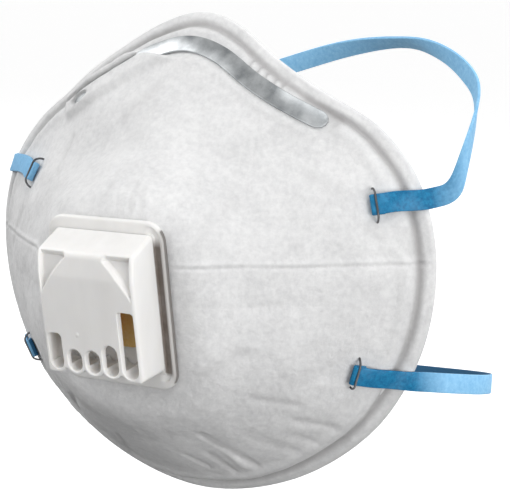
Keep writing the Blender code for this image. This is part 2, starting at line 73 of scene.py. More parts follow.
# ---- The cup's surface, as in the CAD model ----
RIM_HALF = [(0.0, 70.0), (12.0, 67.0), (26.0, 58.6), (41.0, 49.2), (55.5, 39.8), (66.0, 26.0),
            (70.2, 6.0), (66.0, -17.0), (52.5, -38.5), (29.0, -54.8), (0.0, -61.5)]
RIM = np.array([(x, 0.0, z) for x, z in RIM_HALF] + [(-x, 0.0, z) for x, z in RIM_HALF[-2:0:-1]]) * MM
CUP_DEPTH = 50.0 * MM
SIDE_POWER, UPPER_POWER, LOWER_POWER = 1.38, 1.24, 1.90
RIM_FLARE = 0.35
RIM_THICKNESS = 1.5 * MM
NOSE_SET_BACK = 5.5 * MM
NOSE_PINCH_X, NOSE_PINCH_SPREAD = 30.0 * MM, 16.0 * MM
NOSE_FROM_Z, NOSE_FULL_Z, NOSE_FROM_OUT = 30.0 * MM, 52.0 * MM, 0.55
PAD_HALF_WIDTH, PAD_HALF_HEIGHT = 27.0 * MM, 31.0 * MM    # the flat place that the valve sits on
PAD_FLAT_TO, PAD_BLEND = 0.66, 0.6
SLOPE_STEP = 0.004
HOLE_RING = 0.19                    # the layers' edge round the valve's neck
EDGE_RING = 0.93                    # their outer edge, inside the welded rim
WALL = 3.5 * MM
WEB_COLUMNS, LAYER_COLUMNS = 840, 300   # points round the cup
WEB_THICKNESS = 0.6 * MM
# How deep the other layers' fronts lie under the cup's surface, and their thickness
FILTER_LAYER, SHELL_LAYER = (0.9 * MM, 0.9 * MM), (2.1 * MM, 1.4 * MM)
SHELL_SET_IN = 0.12 * MM            # its edge lies this far in front of the rim's rear plane
# The rim's edge as (ring, share of the rim's thickness)
LIP = [(0.998, 0.12), (1.0, 0.4), (1.0, 0.8), (0.997, 0.97), (0.985, 1.0), (0.972, 0.97), (0.962, 1.0),
       (0.956, 0.9)]

# ---- Valve: u to the right, v up, w out of the cup ----
VALVE_TILT = math.radians(8.5)
VALVE_CENTRE = np.array((0.0, -41.2, -2.2)) * MM
HUB = VALVE_CENTRE * (0, 0, 1)
FLANGE_HALF_WIDTH, FLANGE_HALF_HEIGHT, FLANGE_CORNER = 18.0 * MM, 22.0 * MM, 5.0 * MM
FLANGE_FRONT = 1.8 * MM
ORIFICE_RADIUS, RIB_HALF_WIDTH = 8.0 * MM, 0.6 * MM
CLAMP_V, CLAMP_HALF_HEIGHT = 11.8 * MM, 1.3 * MM
# The base's profile in millimetres: (inset from the flange's outline, w), (distance outside the cover's
# outline, w) in the groove, and (radius, w)
FLANGE_EDGE = [(0.30, 0.3), (0.0, 0.5), (0.0, 1.25), (0.12, 1.55), (0.35, 1.72), (0.7, 1.8)]
GROOVE = [(2.1, 1.8), (1.95, 1.72), (1.85, 1.5), (1.8, 1.2), (0.2, 1.15), (0.1, 1.6), (-0.3, 1.75)]
GROOVE_HALF_HEIGHT = 18.3 * MM
NECK_AND_SEAT = [(13.0, 1.75), (9.9, 1.75), (9.5, 1.9), (9.4, 2.75), (9.25, 2.95), (9.0, 3.0), (8.4, 3.0),
                 (8.15, 2.95), (8.0, 2.8), (8.0, -3.75), (8.15, -3.9), (9.25, -3.9), (9.4, -3.75), (9.4, 0.1),
                 (9.6, 0.3)]
BASE_COLUMNS, HALVINGS = 288, 40
VALVE_SHARP = 35.0                  # degrees
FLAP_HALF_WIDTH, FLAP_CORNER, FLAP_THICKNESS = 11.0 * MM, 4.0 * MM, 0.5 * MM
FLAP_BOTTOM, FLAP_TOP, FLAP_CENTRE_W = -10.6 * MM, 13.0 * MM, 3.55 * MM
COVER_HALF_WIDTH, COVER_BACK = 15.0 * MM, 2.1 * MM
COVER_TOP, COVER_SHOULDER, COVER_BOTTOM = 18.8 * MM, 15.4 * MM, -17.2 * MM
COVER_FRONT_TOP, COVER_FRONT_BOTTOM = 11.9 * MM, 11.5 * MM
COVER_CREASE, CREASE_LEAN = 9.3 * MM, 0.16   # above it the front leans back a little more
COVER_WALL, COVER_CROWN = 0.9 * MM, 0.25 * MM
GATE_U, GATE_V, GATE_RADIUS, GATE_HEIGHT = -3.9 * MM, -5.8 * MM, 0.35 * MM, 0.14 * MM
SIDE_ROUNDING, SHOULDER_ROUNDING, FOOT_ROUNDING = 1.2 * MM, 1.4 * MM, 0.5 * MM
# The raised shield on the cover's front as (v, half width) in millimetres; beside it the front is lower
SHIELD_OUTLINE = [(4.2, 13.8), (6.2, 12.6), (9.0, 10.4), (12.1, 7.6), (15.4, 4.0)]
SHIELD_DROP, SHIELD_SLOPE = 1.6 * MM, 1.3 * MM
FRAME_INNER, FRAME_TOP = 13.75 * MM, 14.7 * MM
SLOT_FOOT, LOBE_RADIUS, CUSP = -13.6 * MM, 3.15 * MM, -15.5 * MM
# (centre u, half width, top v, radius of the top's corners) of the exhaust slots, in millimetres
SLOTS = [(-11.6, 2.2, -6.2, 1.2), (-5.7, 2.2, -10.0, 2.2), (0.0, 2.2, -9.8, 2.2), (5.6, 2.3, -7.8, 2.3),
         (11.55, 2.4, 1.4, 0.9)]
# How the slots' cutters widen towards the front, as (extra half width, depth under it), in millimetres
SLOT_FLARE = [(0.5, -2.0), (0.5, -0.10), (0.25, 0.04), (0.09, 0.18), (0.0, 0.45)]
# The cover's hollow in (v, w), and where its surface is finely divided beside its sides
HOLLOW = [(17.3, 1.6), (15.4, 6.5), (13.8, 7.9), (4.5, 8.6), (2.5, 10.2), (-14.3, 10.3), (-14.3, 1.6)]
EDGE_COLUMNS = [13.65, 13.75, 13.85, 13.95, 14.05, 14.2, 14.4, 14.6, 14.75, 14.87, 14.95, 15.0]

# ---- Nose clip and foam ----
CLIP_RING, CLIP_END_RING = 0.88, 0.915
CLIP_HALF_WIDTH, CLIP_THICKNESS, CLIP_HALF_LENGTH = 2.5 * MM, 0.8 * MM, 47.0 * MM
CLIP_LEFT_SHARE = 0.86              # the share of its left half's length that is drawn
CLIP_FADE = 0.92                    # the web's folds round it fade out from here, as a share of its length
FOAM_RING, FOAM_HALF_RING, FOAM_HALF_LENGTH = 0.865, 0.065, 42.0 * MM
FOAM_FRONT, FOAM_REAR = 3.8 * MM, 7.5 * MM
FOAM_SQUARENESS, FOAM_END_ROUNDING, FOAM_CROWN = 0.42, 1.5 * MM, 0.35 * MM

# ---- Straps and staples ----
GAP = 0.3 * MM
STRAP_WIDTH, STRAP_THICKNESS = 5.2 * MM, 0.8 * MM
BAND_CORNER = 0.22 * MM
STRAP_STEP, STRAP_SMOOTHINGS = 0.7 * MM, 14
STAPLE_WIRE, STAPLE_WIDTH, STAPLE_BEND = 0.28 * MM, 9.2 * MM, 0.9 * MM
FOLD_LENGTH, FOLD_PAST_STAPLE = 2.6 * MM, 0.5 * MM
STRAP_CLEARANCE = 0.45 * MM
PRESSED = 0.12 * MM                 # the gap left between the layers that a staple holds together
UPPER_STAPLES = [(57.2, 22.5), (-46.0, 25.5)]
LOWER_STAPLES = [(53.4, -20.5), (-52.8, -25.8)]
# Free loops as (place, direction of the band's width), from the right rim edge to the left one
UPPER_LOOP = [((69.6, 0.8, 24.5), (0.0, 0.0, 1.0)), ((72.4, 3.0, 25.4), (-0.25, -0.3, 0.95)),
              ((74.0, 5.2, 31.5), (-0.1, -0.85, 0.5)),
              ((73.9, 14.0, 47.5), (0.48, -0.69, 0.55)), ((68.0, 20.0, 54.5), (0.6, -0.4, 0.62)),
              ((56.0, 27.0, 60.0), (0.3, -0.6, 0.65)), ((41.0, 35.0, 61.7), (0.0, -0.86, 0.5)),
              ((22.0, 40.5, 59.6), (0.0, -0.6, 0.8)), ((0.0, 43.0, 54.0), (0.0, -0.1, 1.0)),
              ((-25.0, 43.0, 46.5), (0.0, 0.1, 1.0)), ((-49.0, 37.0, 39.0), (0.1, 0.2, 1.0)),
              ((-65.0, 25.0, 32.0), (0.15, 0.2, 1.0)), ((-70.0, 12.0, 27.6), (0.2, 0.1, 1.0)),
              ((-67.0, 0.8, 26.2), (0.4, 0.0, 0.92))]
LOWER_LOOP = [((65.4, 0.8, -23.6), (0.0, 0.0, 1.0)), ((71.5, 8.0, -24.8), (0.0, 0.05, 1.0)),
              ((75.5, 17.0, -26.4), (0.0, 0.1, 1.0)), ((73.0, 28.0, -28.5), (0.0, 0.12, 1.0)),
              ((63.0, 38.5, -31.0), (0.0, 0.15, 1.0)), ((44.0, 47.0, -33.5), (0.0, 0.18, 1.0)),
              ((15.0, 52.0, -35.5), (0.0, 0.18, 1.0)), ((-15.0, 52.0, -35.5), (0.0, 0.18, 1.0)),
              ((-46.0, 48.0, -33.5), (0.0, 0.18, 1.0)), ((-69.0, 38.0, -30.5), (0.0, 0.15, 1.0)),
              ((-76.5, 25.0, -29.0), (-0.1, 0.1, 1.0)), ((-71.5, 11.0, -28.0), (-0.3, 0.05, 0.95)),
              ((-62.3, 0.8, -27.0), (-0.55, 0.0, 0.84))]

# ---- Folds of the cover web, as (x, z) of both ends, height and half width, in millimetres ----
FOLDS = [((20.5, 57.6), (19.4, 54.0), -0.9, 0.6), ((23.2, 55.9), (21.8, 52.6), -0.95, 0.6),
         ((25.6, 54.3), (24.2, 51.2), -1.0, 0.6), ((28.0, 52.8), (26.9, 49.8), -1.05, 0.6),
         ((30.2, 51.5), (29.2, 48.9), -0.95, 0.7), ((33.0, 50.8), (33.6, 48.6), 0.7, 1.5),
         ((36.4, 47.0), (44.0, 42.6), -0.9, 1.7), ((-23.0, 56.0), (-21.8, 52.8), -0.4, 0.7),
         ((-27.5, 53.2), (-26.6, 50.4), -0.45, 0.7),
         ((16.7, -38.6), (23.2, -48.9), -0.9, 1.0), ((14.3, -45.7), (16.1, -52.0), -0.7, 0.9),
         ((7.5, -46.7), (10.3, -50.6), -0.45, 0.9), ((19.5, -44.5), (20.2, -49.5), 0.6, 1.4),
         ((27.6, -38.8), (34.8, -44.1), -0.35, 1.5), ((32.6, -27.1), (40.4, -28.9), -0.35, 1.3),
         ((39.0, -34.1), (45.7, -36.2), -0.4, 1.1), ((36.9, -39.3), (40.3, -40.9), -0.35, 1.0),
         ((56.5, 17.0), (58.5, 14.5), -0.4, 1.7), ((63.8, 15.5), (65.2, 10.5), -0.45, 1.6),
         ((60.5, 15.0), (62.0, 10.5), 0.3, 1.4), ((-32.0, 36.0), (-33.5, 27.0), -0.35, 1.1),
         ((5.5, 27.0), (7.0, 21.5), -0.45, 0.9), ((8.0, 26.0), (10.0, 21.5), -0.35, 0.8),
         ((-2.0, 26.5), (-3.0, 22.0), -0.3, 0.9), ((-4.0, 50.5), (-12.0, 42.0), -0.4, 2.0),
         ((20.0, -24.0), (32.0, -14.0), -0.3, 1.8), ((24.0, 12.0), (27.0, 24.0), -0.3, 2.2),
         ((-24.0, -32.0), (-36.0, -42.0), -0.5, 1.2), ((-14.0, -44.0), (-20.0, -53.0), -0.5, 1.1),
         ((-50.0, 14.0), (-58.0, 4.0), -0.4, 1.4), ((40.0, 30.0), (52.0, 24.0), -0.25, 1.6)]

# ---- The web's other relief ----
LUMPS = [(0.50, 15.0), (0.20, 4.5), (0.07, 1.6)]    # height and grain, in millimetres
STAPLE_DENT, STAPLE_DENT_WIDTH = 0.40 * MM, 5 * MM
SEAM_Z, SEAM_DEPTH, SEAM_WIDTH, SEAM_WANDER = 7.5 * MM, 0.20 * MM, 0.45 * MM, 0.25 * MM
WELT_RISE, WELT_HEIGHT, WELT_WIDTH = 1.1 * MM, 0.24 * MM, 0.6 * MM
WELD_RING, WELD_WIDTH, WELD_DEPTH = 0.957, 0.012, 1.30 * MM
SWELL_RING, SWELL_WIDTH, SWELL_HEIGHT = 0.915, 0.018, 0.60 * MM
GATHER_HEIGHT, DRAWN_HEIGHT = 0.35 * MM, 1.75 * MM
DRAWN_CREASE, DRAWN_CREASE_DEPTH = 1.3 * MM, 1.30 * MM
SUPPORTED_TO = 0.932                # the ring that the layers below reach
DEEPEST = 0.5 * MM                  # no dent is deeper than this over the layers below

# ---- Stage: (name, kind, place, size in metres or the sun's angle, power) of the lamps ----
LAMPS = [("key light", "SUN", (0.42, -0.30, 0.86), math.radians(30), 0.56),
         ("right fill", "AREA", (0.88, -0.42, -0.08), 0.5, 5.0),
         ("left fill", "AREA", (-0.75, -0.30, 0.60), 0.5, 3.8),
         ("front fill", "AREA", (0.25, -0.85, 0.45), 0.5, 0.3),
         ("back light", "AREA", (0.2, 0.7, 0.6), 0.6, 4.0)]
FLOOR_DROP = 12 * MM                # the floor clears the lower strap's lowest swing
FLOOR_REACH = 900.0


# ---- Small tools ----
def smoothstep(x):
    x = np.clip(x, 0.0, 1.0)
    return x * x * (3 - 2 * x)


def bump(distance, width):
    return np.exp(-(distance / width) ** 2)


def unit(vectors):
    return vectors / np.linalg.norm(vectors, axis=-1, keepdims=True)


def spline(points, t, closed=False):
    """Points on the smooth curve through the given ones; t counts from 0 at the first of them."""
    points = np.asarray(points, float)
    count = len(points)
    if closed:
        index = np.floor(t).astype(int)
        a, b, c, d = (points[(index + k) % count] for k in (-1, 0, 1, 2))
    else:
        padded = np.vstack([2 * points[0] - points[1], points, 2 * points[-1] - points[-2]])
        index = np.clip(np.floor(t).astype(int), 0, count - 2)
        a, b, c, d = (padded[index + k] for k in range(4))
    s = (t - index)[..., None]
    return (2 * b + (c - a) * s + (2 * a - 5 * b + 4 * c - d) * s ** 2
            + (3 * b - a - 3 * c + d) * s ** 3) / 2


def rough(points, size, seed):
    """Seeded smooth noise about zero at each point; size is its grain."""
    flat = np.asarray(points).reshape(-1, 3) / size + seed * 7.31
    values = [noise.noise(Vector(point)) for point in flat]
    return np.array(values).reshape(np.shape(points)[:-1])


def loft(name, rings, look, closed=False, sharp=40.0):
    """A mesh over rows of points, each row a closed ring; closed joins the last row to the first."""
    rings = np.asarray(rings, float)
    rows, count = rings.shape[:2]
    spans = rows if closed else rows - 1
    row, col = np.meshgrid(np.arange(spans), np.arange(count), indexing="ij")
    following, right = (row + 1) % rows, (col + 1) % count
    quads = np.stack([row * count + col, row * count + right, following * count + right,
                      following * count + col], axis=-1).reshape(-1, 4)
    faces = quads.tolist()
    if not closed:
        faces.append(list(range(count)))
        faces.append(list(range((rows - 1) * count, rows * count)))
    mesh = bpy.data.meshes.new(name)
    mesh.from_pydata(rings.reshape(-1, 3).tolist(), [], faces)
    return finish_mesh(name, mesh, look, sharp)


def finish_mesh(name, mesh, look, sharp=40.0):
    """Makes an object from a mesh, with its faces turned out and smooth below the sharp angle."""
    bm = bmesh.new()
    bm.from_mesh(mesh)
    bmesh.ops.recalc_face_normals(bm, faces=bm.faces)
    bm.to_mesh(mesh)
    bm.free()
    mesh.shade_smooth()
    mesh.set_sharp_from_angle(angle=math.radians(sharp))
    mesh.materials.clear()
    mesh.materials.append(look)
    obj = bpy.data.objects.new(name, mesh)
    bpy.context.scene.collection.objects.link(obj)
    return obj


# ---- Node materials ----
def feed(tree, socket, value):
    """Links another socket to this input, or sets it; a colour is given as three numbers."""
    if isinstance(value, bpy.types.NodeSocket):
        tree.links.new(value, socket)
    else:
        socket.default_value = (*value, 1.0) if socket.type == "RGBA" else value


def put(tree, kind, inputs=None, **settings):
    """Adds a node; an input given as a socket is linked, any other is set."""
    node = tree.nodes.new(kind)
    for key, value in settings.items():
        setattr(node, key, value)
    for key, value in (inputs or {}).items():
        feed(tree, node.inputs[key], value)
    return node


def start_material(name, **constants):
    """A material, its node tree, its shader and object coordinates in metres."""
    made = bpy.data.materials.new(name)
    made.use_nodes = True
    tree = made.node_tree
    shader = tree.nodes["Principled BSDF"]
    for key, value in constants.items():
        feed(tree, shader.inputs[key.replace("_", " ")], value)
    place = put(tree, "ShaderNodeTexCoord").outputs["Object"]
    return made, tree, shader, place


def noise_value(tree, coordinates, grain, stretch=(1, 1, 1), turn=(0, 0, 0), detail=3.0, roughness=0.55):
    """A noise socket; grain is the size of its spots in metres."""
    mapping = put(tree, "ShaderNodeMapping", {"Vector": coordinates, "Scale": stretch, "Rotation": turn})
    return put(tree, "ShaderNodeTexNoise", {"Vector": mapping.outputs["Vector"], "Scale": 1 / grain,
                                            "Detail": detail, "Roughness": roughness}).outputs["Fac"]


def ramp(tree, factor, low, high, to_low=0.0, to_high=1.0):
    return put(tree, "ShaderNodeMapRange", {"Value": factor, "From Min": low, "From Max": high,
                                            "To Min": to_low, "To Max": to_high}).outputs["Result"]


def mix_colour(tree, factor, first, second):
    """A mix of two colours, each a colour socket or three numbers; the factor is a socket."""
    node = put(tree, "ShaderNodeMix", {0: factor, 6: first, 7: second}, data_type="RGBA")
    return node.outputs[2]


def math_node(tree, operation, first, second):
    return put(tree, "ShaderNodeMath", {0: first, 1: second}, operation=operation).outputs[0]


def axis(tree, vector, letter):
    return put(tree, "ShaderNodeSeparateXYZ", {"Vector": vector}).outputs[letter]


def distance_along(tree, place, origin, direction):
    """How far a place lies from an origin along a direction."""
    spoke = put(tree, "ShaderNodeVectorMath", {0: place, 1: origin}, operation="SUBTRACT").outputs[0]
    return put(tree, "ShaderNodeVectorMath", {0: spoke, 1: direction},
               operation="DOT_PRODUCT").outputs["Value"]


def connect(tree, shader, colour, heights, roughness=None):
    """Gives the shader its colour, bumps on one another, and a roughness that varies if one is given.
    A bump is (height socket, depth in metres, strength)."""
    feed(tree, shader.inputs["Base Color"], colour)
    if roughness is not None:
        feed(tree, shader.inputs["Roughness"], roughness)
    normal = None
    for height, depth, strength in heights:
        inputs = {"Height": height, "Distance": depth, "Strength": strength}
        if normal is not None:
            inputs["Normal"] = normal
        normal = put(tree, "ShaderNodeBump", inputs).outputs["Normal"]
    feed(tree, shader.inputs["Normal"], normal)


def nonwoven(name, light, dark, fuzz=0.35, pressed_grey_and_painted_shade=False):
    """Spun-bonded web: fibres in three directions, thicker and thinner places, a little sheen.
    Where welded it turns greyer, and painted shade darkens its weld groove and creases; that share is stored
    with the mesh."""
    made, tree, shader, place = start_material(name, Roughness=0.92, Specular_IOR_Level=0.25,
                                               Sheen_Weight=fuzz, Sheen_Roughness=0.6)
    fibres = None
    for turn in ((0.2, 0.1, 0.5), (1.1, 0.4, -0.6), (-0.7, 0.9, 1.7)):
        strands = noise_value(tree, place, 0.42 * MM, (7.0, 1.0, 1.0), turn, 4.0, 0.7)
        fibres = strands if fibres is None else math_node(tree, "MAXIMUM", fibres, strands)
    clumps = noise_value(tree, place, 1.5 * MM, detail=5.0, roughness=0.65)
    clouds = noise_value(tree, place, 11 * MM, detail=4.0, roughness=0.6)
    shade = math_node(tree, "ADD", ramp(tree, clumps, 0.36, 0.68, 0.0, 0.55),
                      ramp(tree, clouds, 0.35, 0.7, 0.0, 0.45))
    colour = mix_colour(tree, shade, light, dark)
    colour = mix_colour(tree, ramp(tree, fibres, 0.60, 0.74, 0.0, 0.35), colour, (0.93, 0.93, 0.92))
    if pressed_grey_and_painted_shade:
        # Greyer where welded, and painted shade in the weld groove and along the creases
        share = put(tree, "ShaderNodeAttribute", attribute_name="pressed_grey_and_painted_shade").outputs["Fac"]
        colour = mix_colour(tree, share, colour, (0.36, 0.35, 0.35))
    connect(tree, shader, colour, [(clumps, 0.30 * MM, 0.7), (fibres, 0.16 * MM, 0.8)])
    return made


def plastic(name, light, dark, roughness):
    """Moulded plastic: a fine satin texture, faint flow marks and slight scuffs in the gloss."""
    made, tree, shader, place = start_material(name, Specular_IOR_Level=0.5, Subsurface_Weight=0.12,
                                               Subsurface_Scale=2 * MM, Subsurface_Radius=(1.0, 0.85, 0.65))
    flow = noise_value(tree, place, 7 * MM, (1.0, 1.0, 0.35), detail=3.0)
    scuff = noise_value(tree, place, 0.8 * MM, (1.0, 5.0, 1.0), (0.3, 0.5, 0.2), 5.0, 0.7)
    texture = noise_value(tree, place, 0.4 * MM, detail=2.0)
    connect(tree, shader, mix_colour(tree, ramp(tree, flow, 0.3, 0.7), light, dark),
            [(flow, 0.15 * MM, 0.15), (texture, 0.05 * MM, 0.2)],
            ramp(tree, scuff, 0.3, 0.75, roughness - 0.06, roughness + 0.14))
    return made


def shade_groove(look):
    """Painted brown shade in the groove beside the valve's cover. The flange outside it is painted greyer as
    shade, and its outer edge darker as a painted shadow."""
    tree = look.node_tree
    base = tree.nodes["Principled BSDF"].inputs["Base Color"]
    place = put(tree, "ShaderNodeTexCoord").outputs["Object"]
    across, height = axis(tree, place, "X"), axis(tree, place, "Z")
    # Painted shade: the flange right of the groove is greyer
    outside = ramp(tree, across, 16.4 * MM, 17.4 * MM, 0.0, 0.62)
    colour = mix_colour(tree, outside, base.links[0].from_socket, (0.40, 0.385, 0.375))
    # Painted brown shade in the groove on the right, mottled a little by noise
    dust_and_groove_shade = ramp(tree, noise_value(tree, place, 3.5 * MM, detail=2.0), 0.3, 0.7, 0.9, 1.0)
    for value, low, high, limits in ((across, 14.6, 15.0, (0.0, 1.0)), (across, 16.3, 17.6, (1.0, 0.0)),
                                     (height, 13.0, 15.5, (1.0, 0.0)), (height, -20.5, -19.5, (0.0, 1.0))):
        dust_and_groove_shade = math_node(tree, "MULTIPLY", dust_and_groove_shade, ramp(tree, value, low * MM, high * MM, *limits))
    colour = mix_colour(tree, dust_and_groove_shade, colour, (0.15, 0.12, 0.10))
    # Painted shadow along the flange's outer edge on the right
    out_of_cup = (0.0, -math.cos(VALVE_TILT), -math.sin(VALVE_TILT))
    rise = distance_along(tree, place, tuple(VALVE_CENTRE), out_of_cup)
    edge = math_node(tree, "MULTIPLY", ramp(tree, rise, 1.4 * MM, 1.7 * MM, 0.9, 0.0),
                     ramp(tree, across, 16.9 * MM, 17.2 * MM))
    feed(tree, base, mix_colour(tree, edge, colour, (0.14, 0.13, 0.12)))
    return look


def elastic(name):
    """Flat rubber band: dusty mottling over fine pits, paler where it runs free of the cup."""
    made, tree, shader, place = start_material(name, Specular_IOR_Level=0.22)
    dust_and_groove_shade = noise_value(tree, place, 1.1 * MM, detail=6.0, roughness=0.7)
    patches = noise_value(tree, place, 7.0 * MM, detail=3.0)
    pits = noise_value(tree, place, 0.25 * MM, detail=2.0)
    free = math_node(tree, "MAXIMUM", ramp(tree, axis(tree, place, "Y"), -1 * MM, 6 * MM),
                     ramp(tree, axis(tree, place, "X"), 0.0, -40 * MM, 0.0, 0.7))
    deep = mix_colour(tree, ramp(tree, dust_and_groove_shade, 0.36, 0.66), (0.005, 0.125, 0.28), (0.018, 0.24, 0.46))
    pale = mix_colour(tree, ramp(tree, dust_and_groove_shade, 0.34, 0.68), (0.21, 0.50, 0.80), (0.34, 0.65, 0.92))
    colour = mix_colour(tree, free, deep, pale)
    colour = mix_colour(tree, ramp(tree, patches, 0.45, 0.75, 0.0, 0.25), colour, (0.27, 0.53, 0.80))
    # Painted shade: on the lower strap the side towards the wearer's head is darker, as if shaded
    facing = put(tree, "ShaderNodeTexCoord").outputs["Normal"]
    outside = distance_along(tree, place, (0.0, 20 * MM, 0.0), facing)
    shaded = math_node(tree, "MULTIPLY", ramp(tree, outside, -4 * MM, 4 * MM, 0.9, 0.0),
                       ramp(tree, axis(tree, place, "Z"), -20 * MM, 0.0, 1.0, 0.0))
    connect(tree, shader, mix_colour(tree, shaded, colour, (0.004, 0.085, 0.20)),
            [(dust_and_groove_shade, 0.08 * MM, 0.35), (pits, 0.04 * MM, 0.3)], ramp(tree, dust_and_groove_shade, 0.3, 0.7, 0.50, 0.68))
    return made


def metal(name, light, dark, roughness, brushed=True):
    """Bare metal: rolled grain along X and stains; the wire has no grain."""
    made, tree, shader, place = start_material(name, Metallic=1.0)
    stains = noise_value(tree, place, 5.0 * MM, detail=4.0)
    stretch = (0.06 if brushed else 1.0, 1.0, 1.0)
    grain = noise_value(tree, place, 0.12 * MM, stretch, detail=3.0, roughness=0.7)
    connect(tree, shader, mix_colour(tree, ramp(tree, stains, 0.3, 0.7), light, dark),
            [(stains, 0.2 * MM, 0.1), (grain, 0.02 * MM, 0.35)],
            ramp(tree, grain, 0.3, 0.7, roughness - 0.08, roughness + 0.12))
    return made


def rubber(name):
    """Thin translucent flap rubber with a dusting of talc."""
    made, tree, shader, place = start_material(name, Specular_IOR_Level=0.4, Subsurface_Weight=0.25,
                                               Subsurface_Scale=1.5 * MM, Subsurface_Radius=(1.0, 0.6, 0.25))
    talc = noise_value(tree, place, 0.9 * MM, detail=5.0, roughness=0.7)
    colour = mix_colour(tree, ramp(tree, talc, 0.35, 0.75), (0.88, 0.54, 0.17), (0.95, 0.66, 0.30))
    connect(tree, shader, colour, [(talc, 0.06 * MM, 0.25)], ramp(tree, talc, 0.3, 0.7, 0.42, 0.62))
    return made


def foam(name):
    """Open-cell foam: round pores of two sizes."""
    made, tree, shader, place = start_material(name, Roughness=0.95, Specular_IOR_Level=0.2, Sheen_Weight=0.2)
    pores = [put(tree, "ShaderNodeTexVoronoi", {"Vector": place, "Scale": 1 / size}).outputs["Distance"]
             for size in (0.75 * MM, 0.38 * MM)]
    walls = math_node(tree, "MINIMUM", *pores)
    tone = noise_value(tree, place, 4 * MM)
    colour = mix_colour(tree, ramp(tree, walls, 0.05, 0.45), (0.10, 0.105, 0.11), (0.34, 0.35, 0.37))
    colour = mix_colour(tree, ramp(tree, tone, 0.3, 0.7, 0.0, 0.3), colour, (0.26, 0.27, 0.28))
    connect(tree, shader, colour, [(walls, 0.35 * MM, 0.8)])
    return made


# ---- Cup ----
def nose_bend(x, z):
    beside = bump(np.abs(x) - NOSE_PINCH_X, NOSE_PINCH_SPREAD)
    return -NOSE_SET_BACK * beside * smoothstep((z - NOSE_FROM_Z) / (NOSE_FULL_Z - NOSE_FROM_Z))


def cup(turn, out):
    """The outer surface: turn goes clockwise from the nose, out from the valve to the rim's edge."""
    turn, out = np.broadcast_arrays(np.asarray(turn, float), np.asarray(out, float))
    rim = spline(RIM, turn % 1.0 * len(RIM), closed=True)
    spoke = rim - HUB
    rise = spoke[..., 2] / np.linalg.norm(spoke, axis=-1)
    power = SIDE_POWER + np.where(rise > 0, (UPPER_POWER - SIDE_POWER) * np.abs(rise) ** 1.5,
                                  (LOWER_POWER - SIDE_POWER) * np.abs(rise))
    place = HUB + spoke * out[..., None]
    depth = 1 - out ** power - RIM_FLARE * out ** 8 * (1 - out)
    y = -RIM_THICKNESS - (CUP_DEPTH - RIM_THICKNESS) * depth
    y = y + nose_bend(rim[..., 0], rim[..., 2]) * smoothstep((out - NOSE_FROM_OUT) / (1 - NOSE_FROM_OUT))
    up = place[..., 2] - VALVE_CENTRE[2]
    flat = VALVE_CENTRE[1] - math.tan(VALVE_TILT) * up
    reach = ((np.abs(place[..., 0]) / PAD_HALF_WIDTH) ** 3 + (np.abs(up) / PAD_HALF_HEIGHT) ** 3) ** (1 / 3)
    place[..., 1] = y + (flat - y) * (1 - smoothstep((reach - PAD_FLAT_TO) / PAD_BLEND))
    return place


def cup_normal(turn, out):
    turn, out = np.asarray(turn, float), np.asarray(out, float)
    along = cup(turn + SLOPE_STEP, out) - cup(turn - SLOPE_STEP, out)
    outward = cup(turn, out + SLOPE_STEP) - cup(turn, out - SLOPE_STEP)
    normal = unit(np.cross(along, outward))
    return np.where(normal[..., 1:2] > 0, -normal, normal)


def on_cup(turn, out, height):
    return cup(turn, out) + cup_normal(turn, out) * np.asarray(height)[..., None]


def bearing(x, z):
    return np.arctan2(x, z - HUB[2]) % math.tau


TURNS = np.linspace(0.0, 0.9995, 2000)
RIM_TABLE = cup(TURNS, 1.0)


def find_on_cup(x, z):
    """The turn and out of the place on the cup seen from the front at x, z."""
    angles = bearing(RIM_TABLE[:, 0], RIM_TABLE[:, 2])
    turn = float(np.interp(bearing(x, z), angles, TURNS))
    rim = cup(turn, 1.0)
    return turn, math.hypot(x, z - HUB[2]) / math.hypot(rim[0], rim[2] - HUB[2])


def clip_ring(turn):
    """The ring that the nose clip follows, and how far along it a turn is: 1 at its ends."""
    from_nose = (np.asarray(turn) + 0.5) % 1.0 - 0.5
    part_way = np.abs(from_nose) / CLIP_REACH
    return CLIP_RING + (CLIP_END_RING - CLIP_RING) * np.minimum(part_way, 1.3) ** 2, part_way


def nose_reach(half_length):
    """The turn that lies this far from the nose's middle, along the clip's ring."""
    turns = np.linspace(0.0, 0.25, 600)
    steps = np.linalg.norm(np.diff(cup(turns, CLIP_RING), axis=0), axis=1)
    return float(np.interp(half_length, np.concatenate([[0.0], np.cumsum(steps)]), turns))


CLIP_REACH = nose_reach(CLIP_HALF_LENGTH)


def fold(x, z, start, end, height, width):
    """A straight fold: highest along the line between its ends, and fading out around it."""
    start, end = np.array(start) * MM, np.array(end) * MM
    run = end - start
    part_way = np.clip(((x - start[0]) * run[0] + (z - start[1]) * run[1]) / (run @ run), 0.0, 1.0)
    away = np.hypot(x - start[0] - run[0] * part_way, z - start[1] - run[1] * part_way)
    return height * MM * bump(away, width * MM)


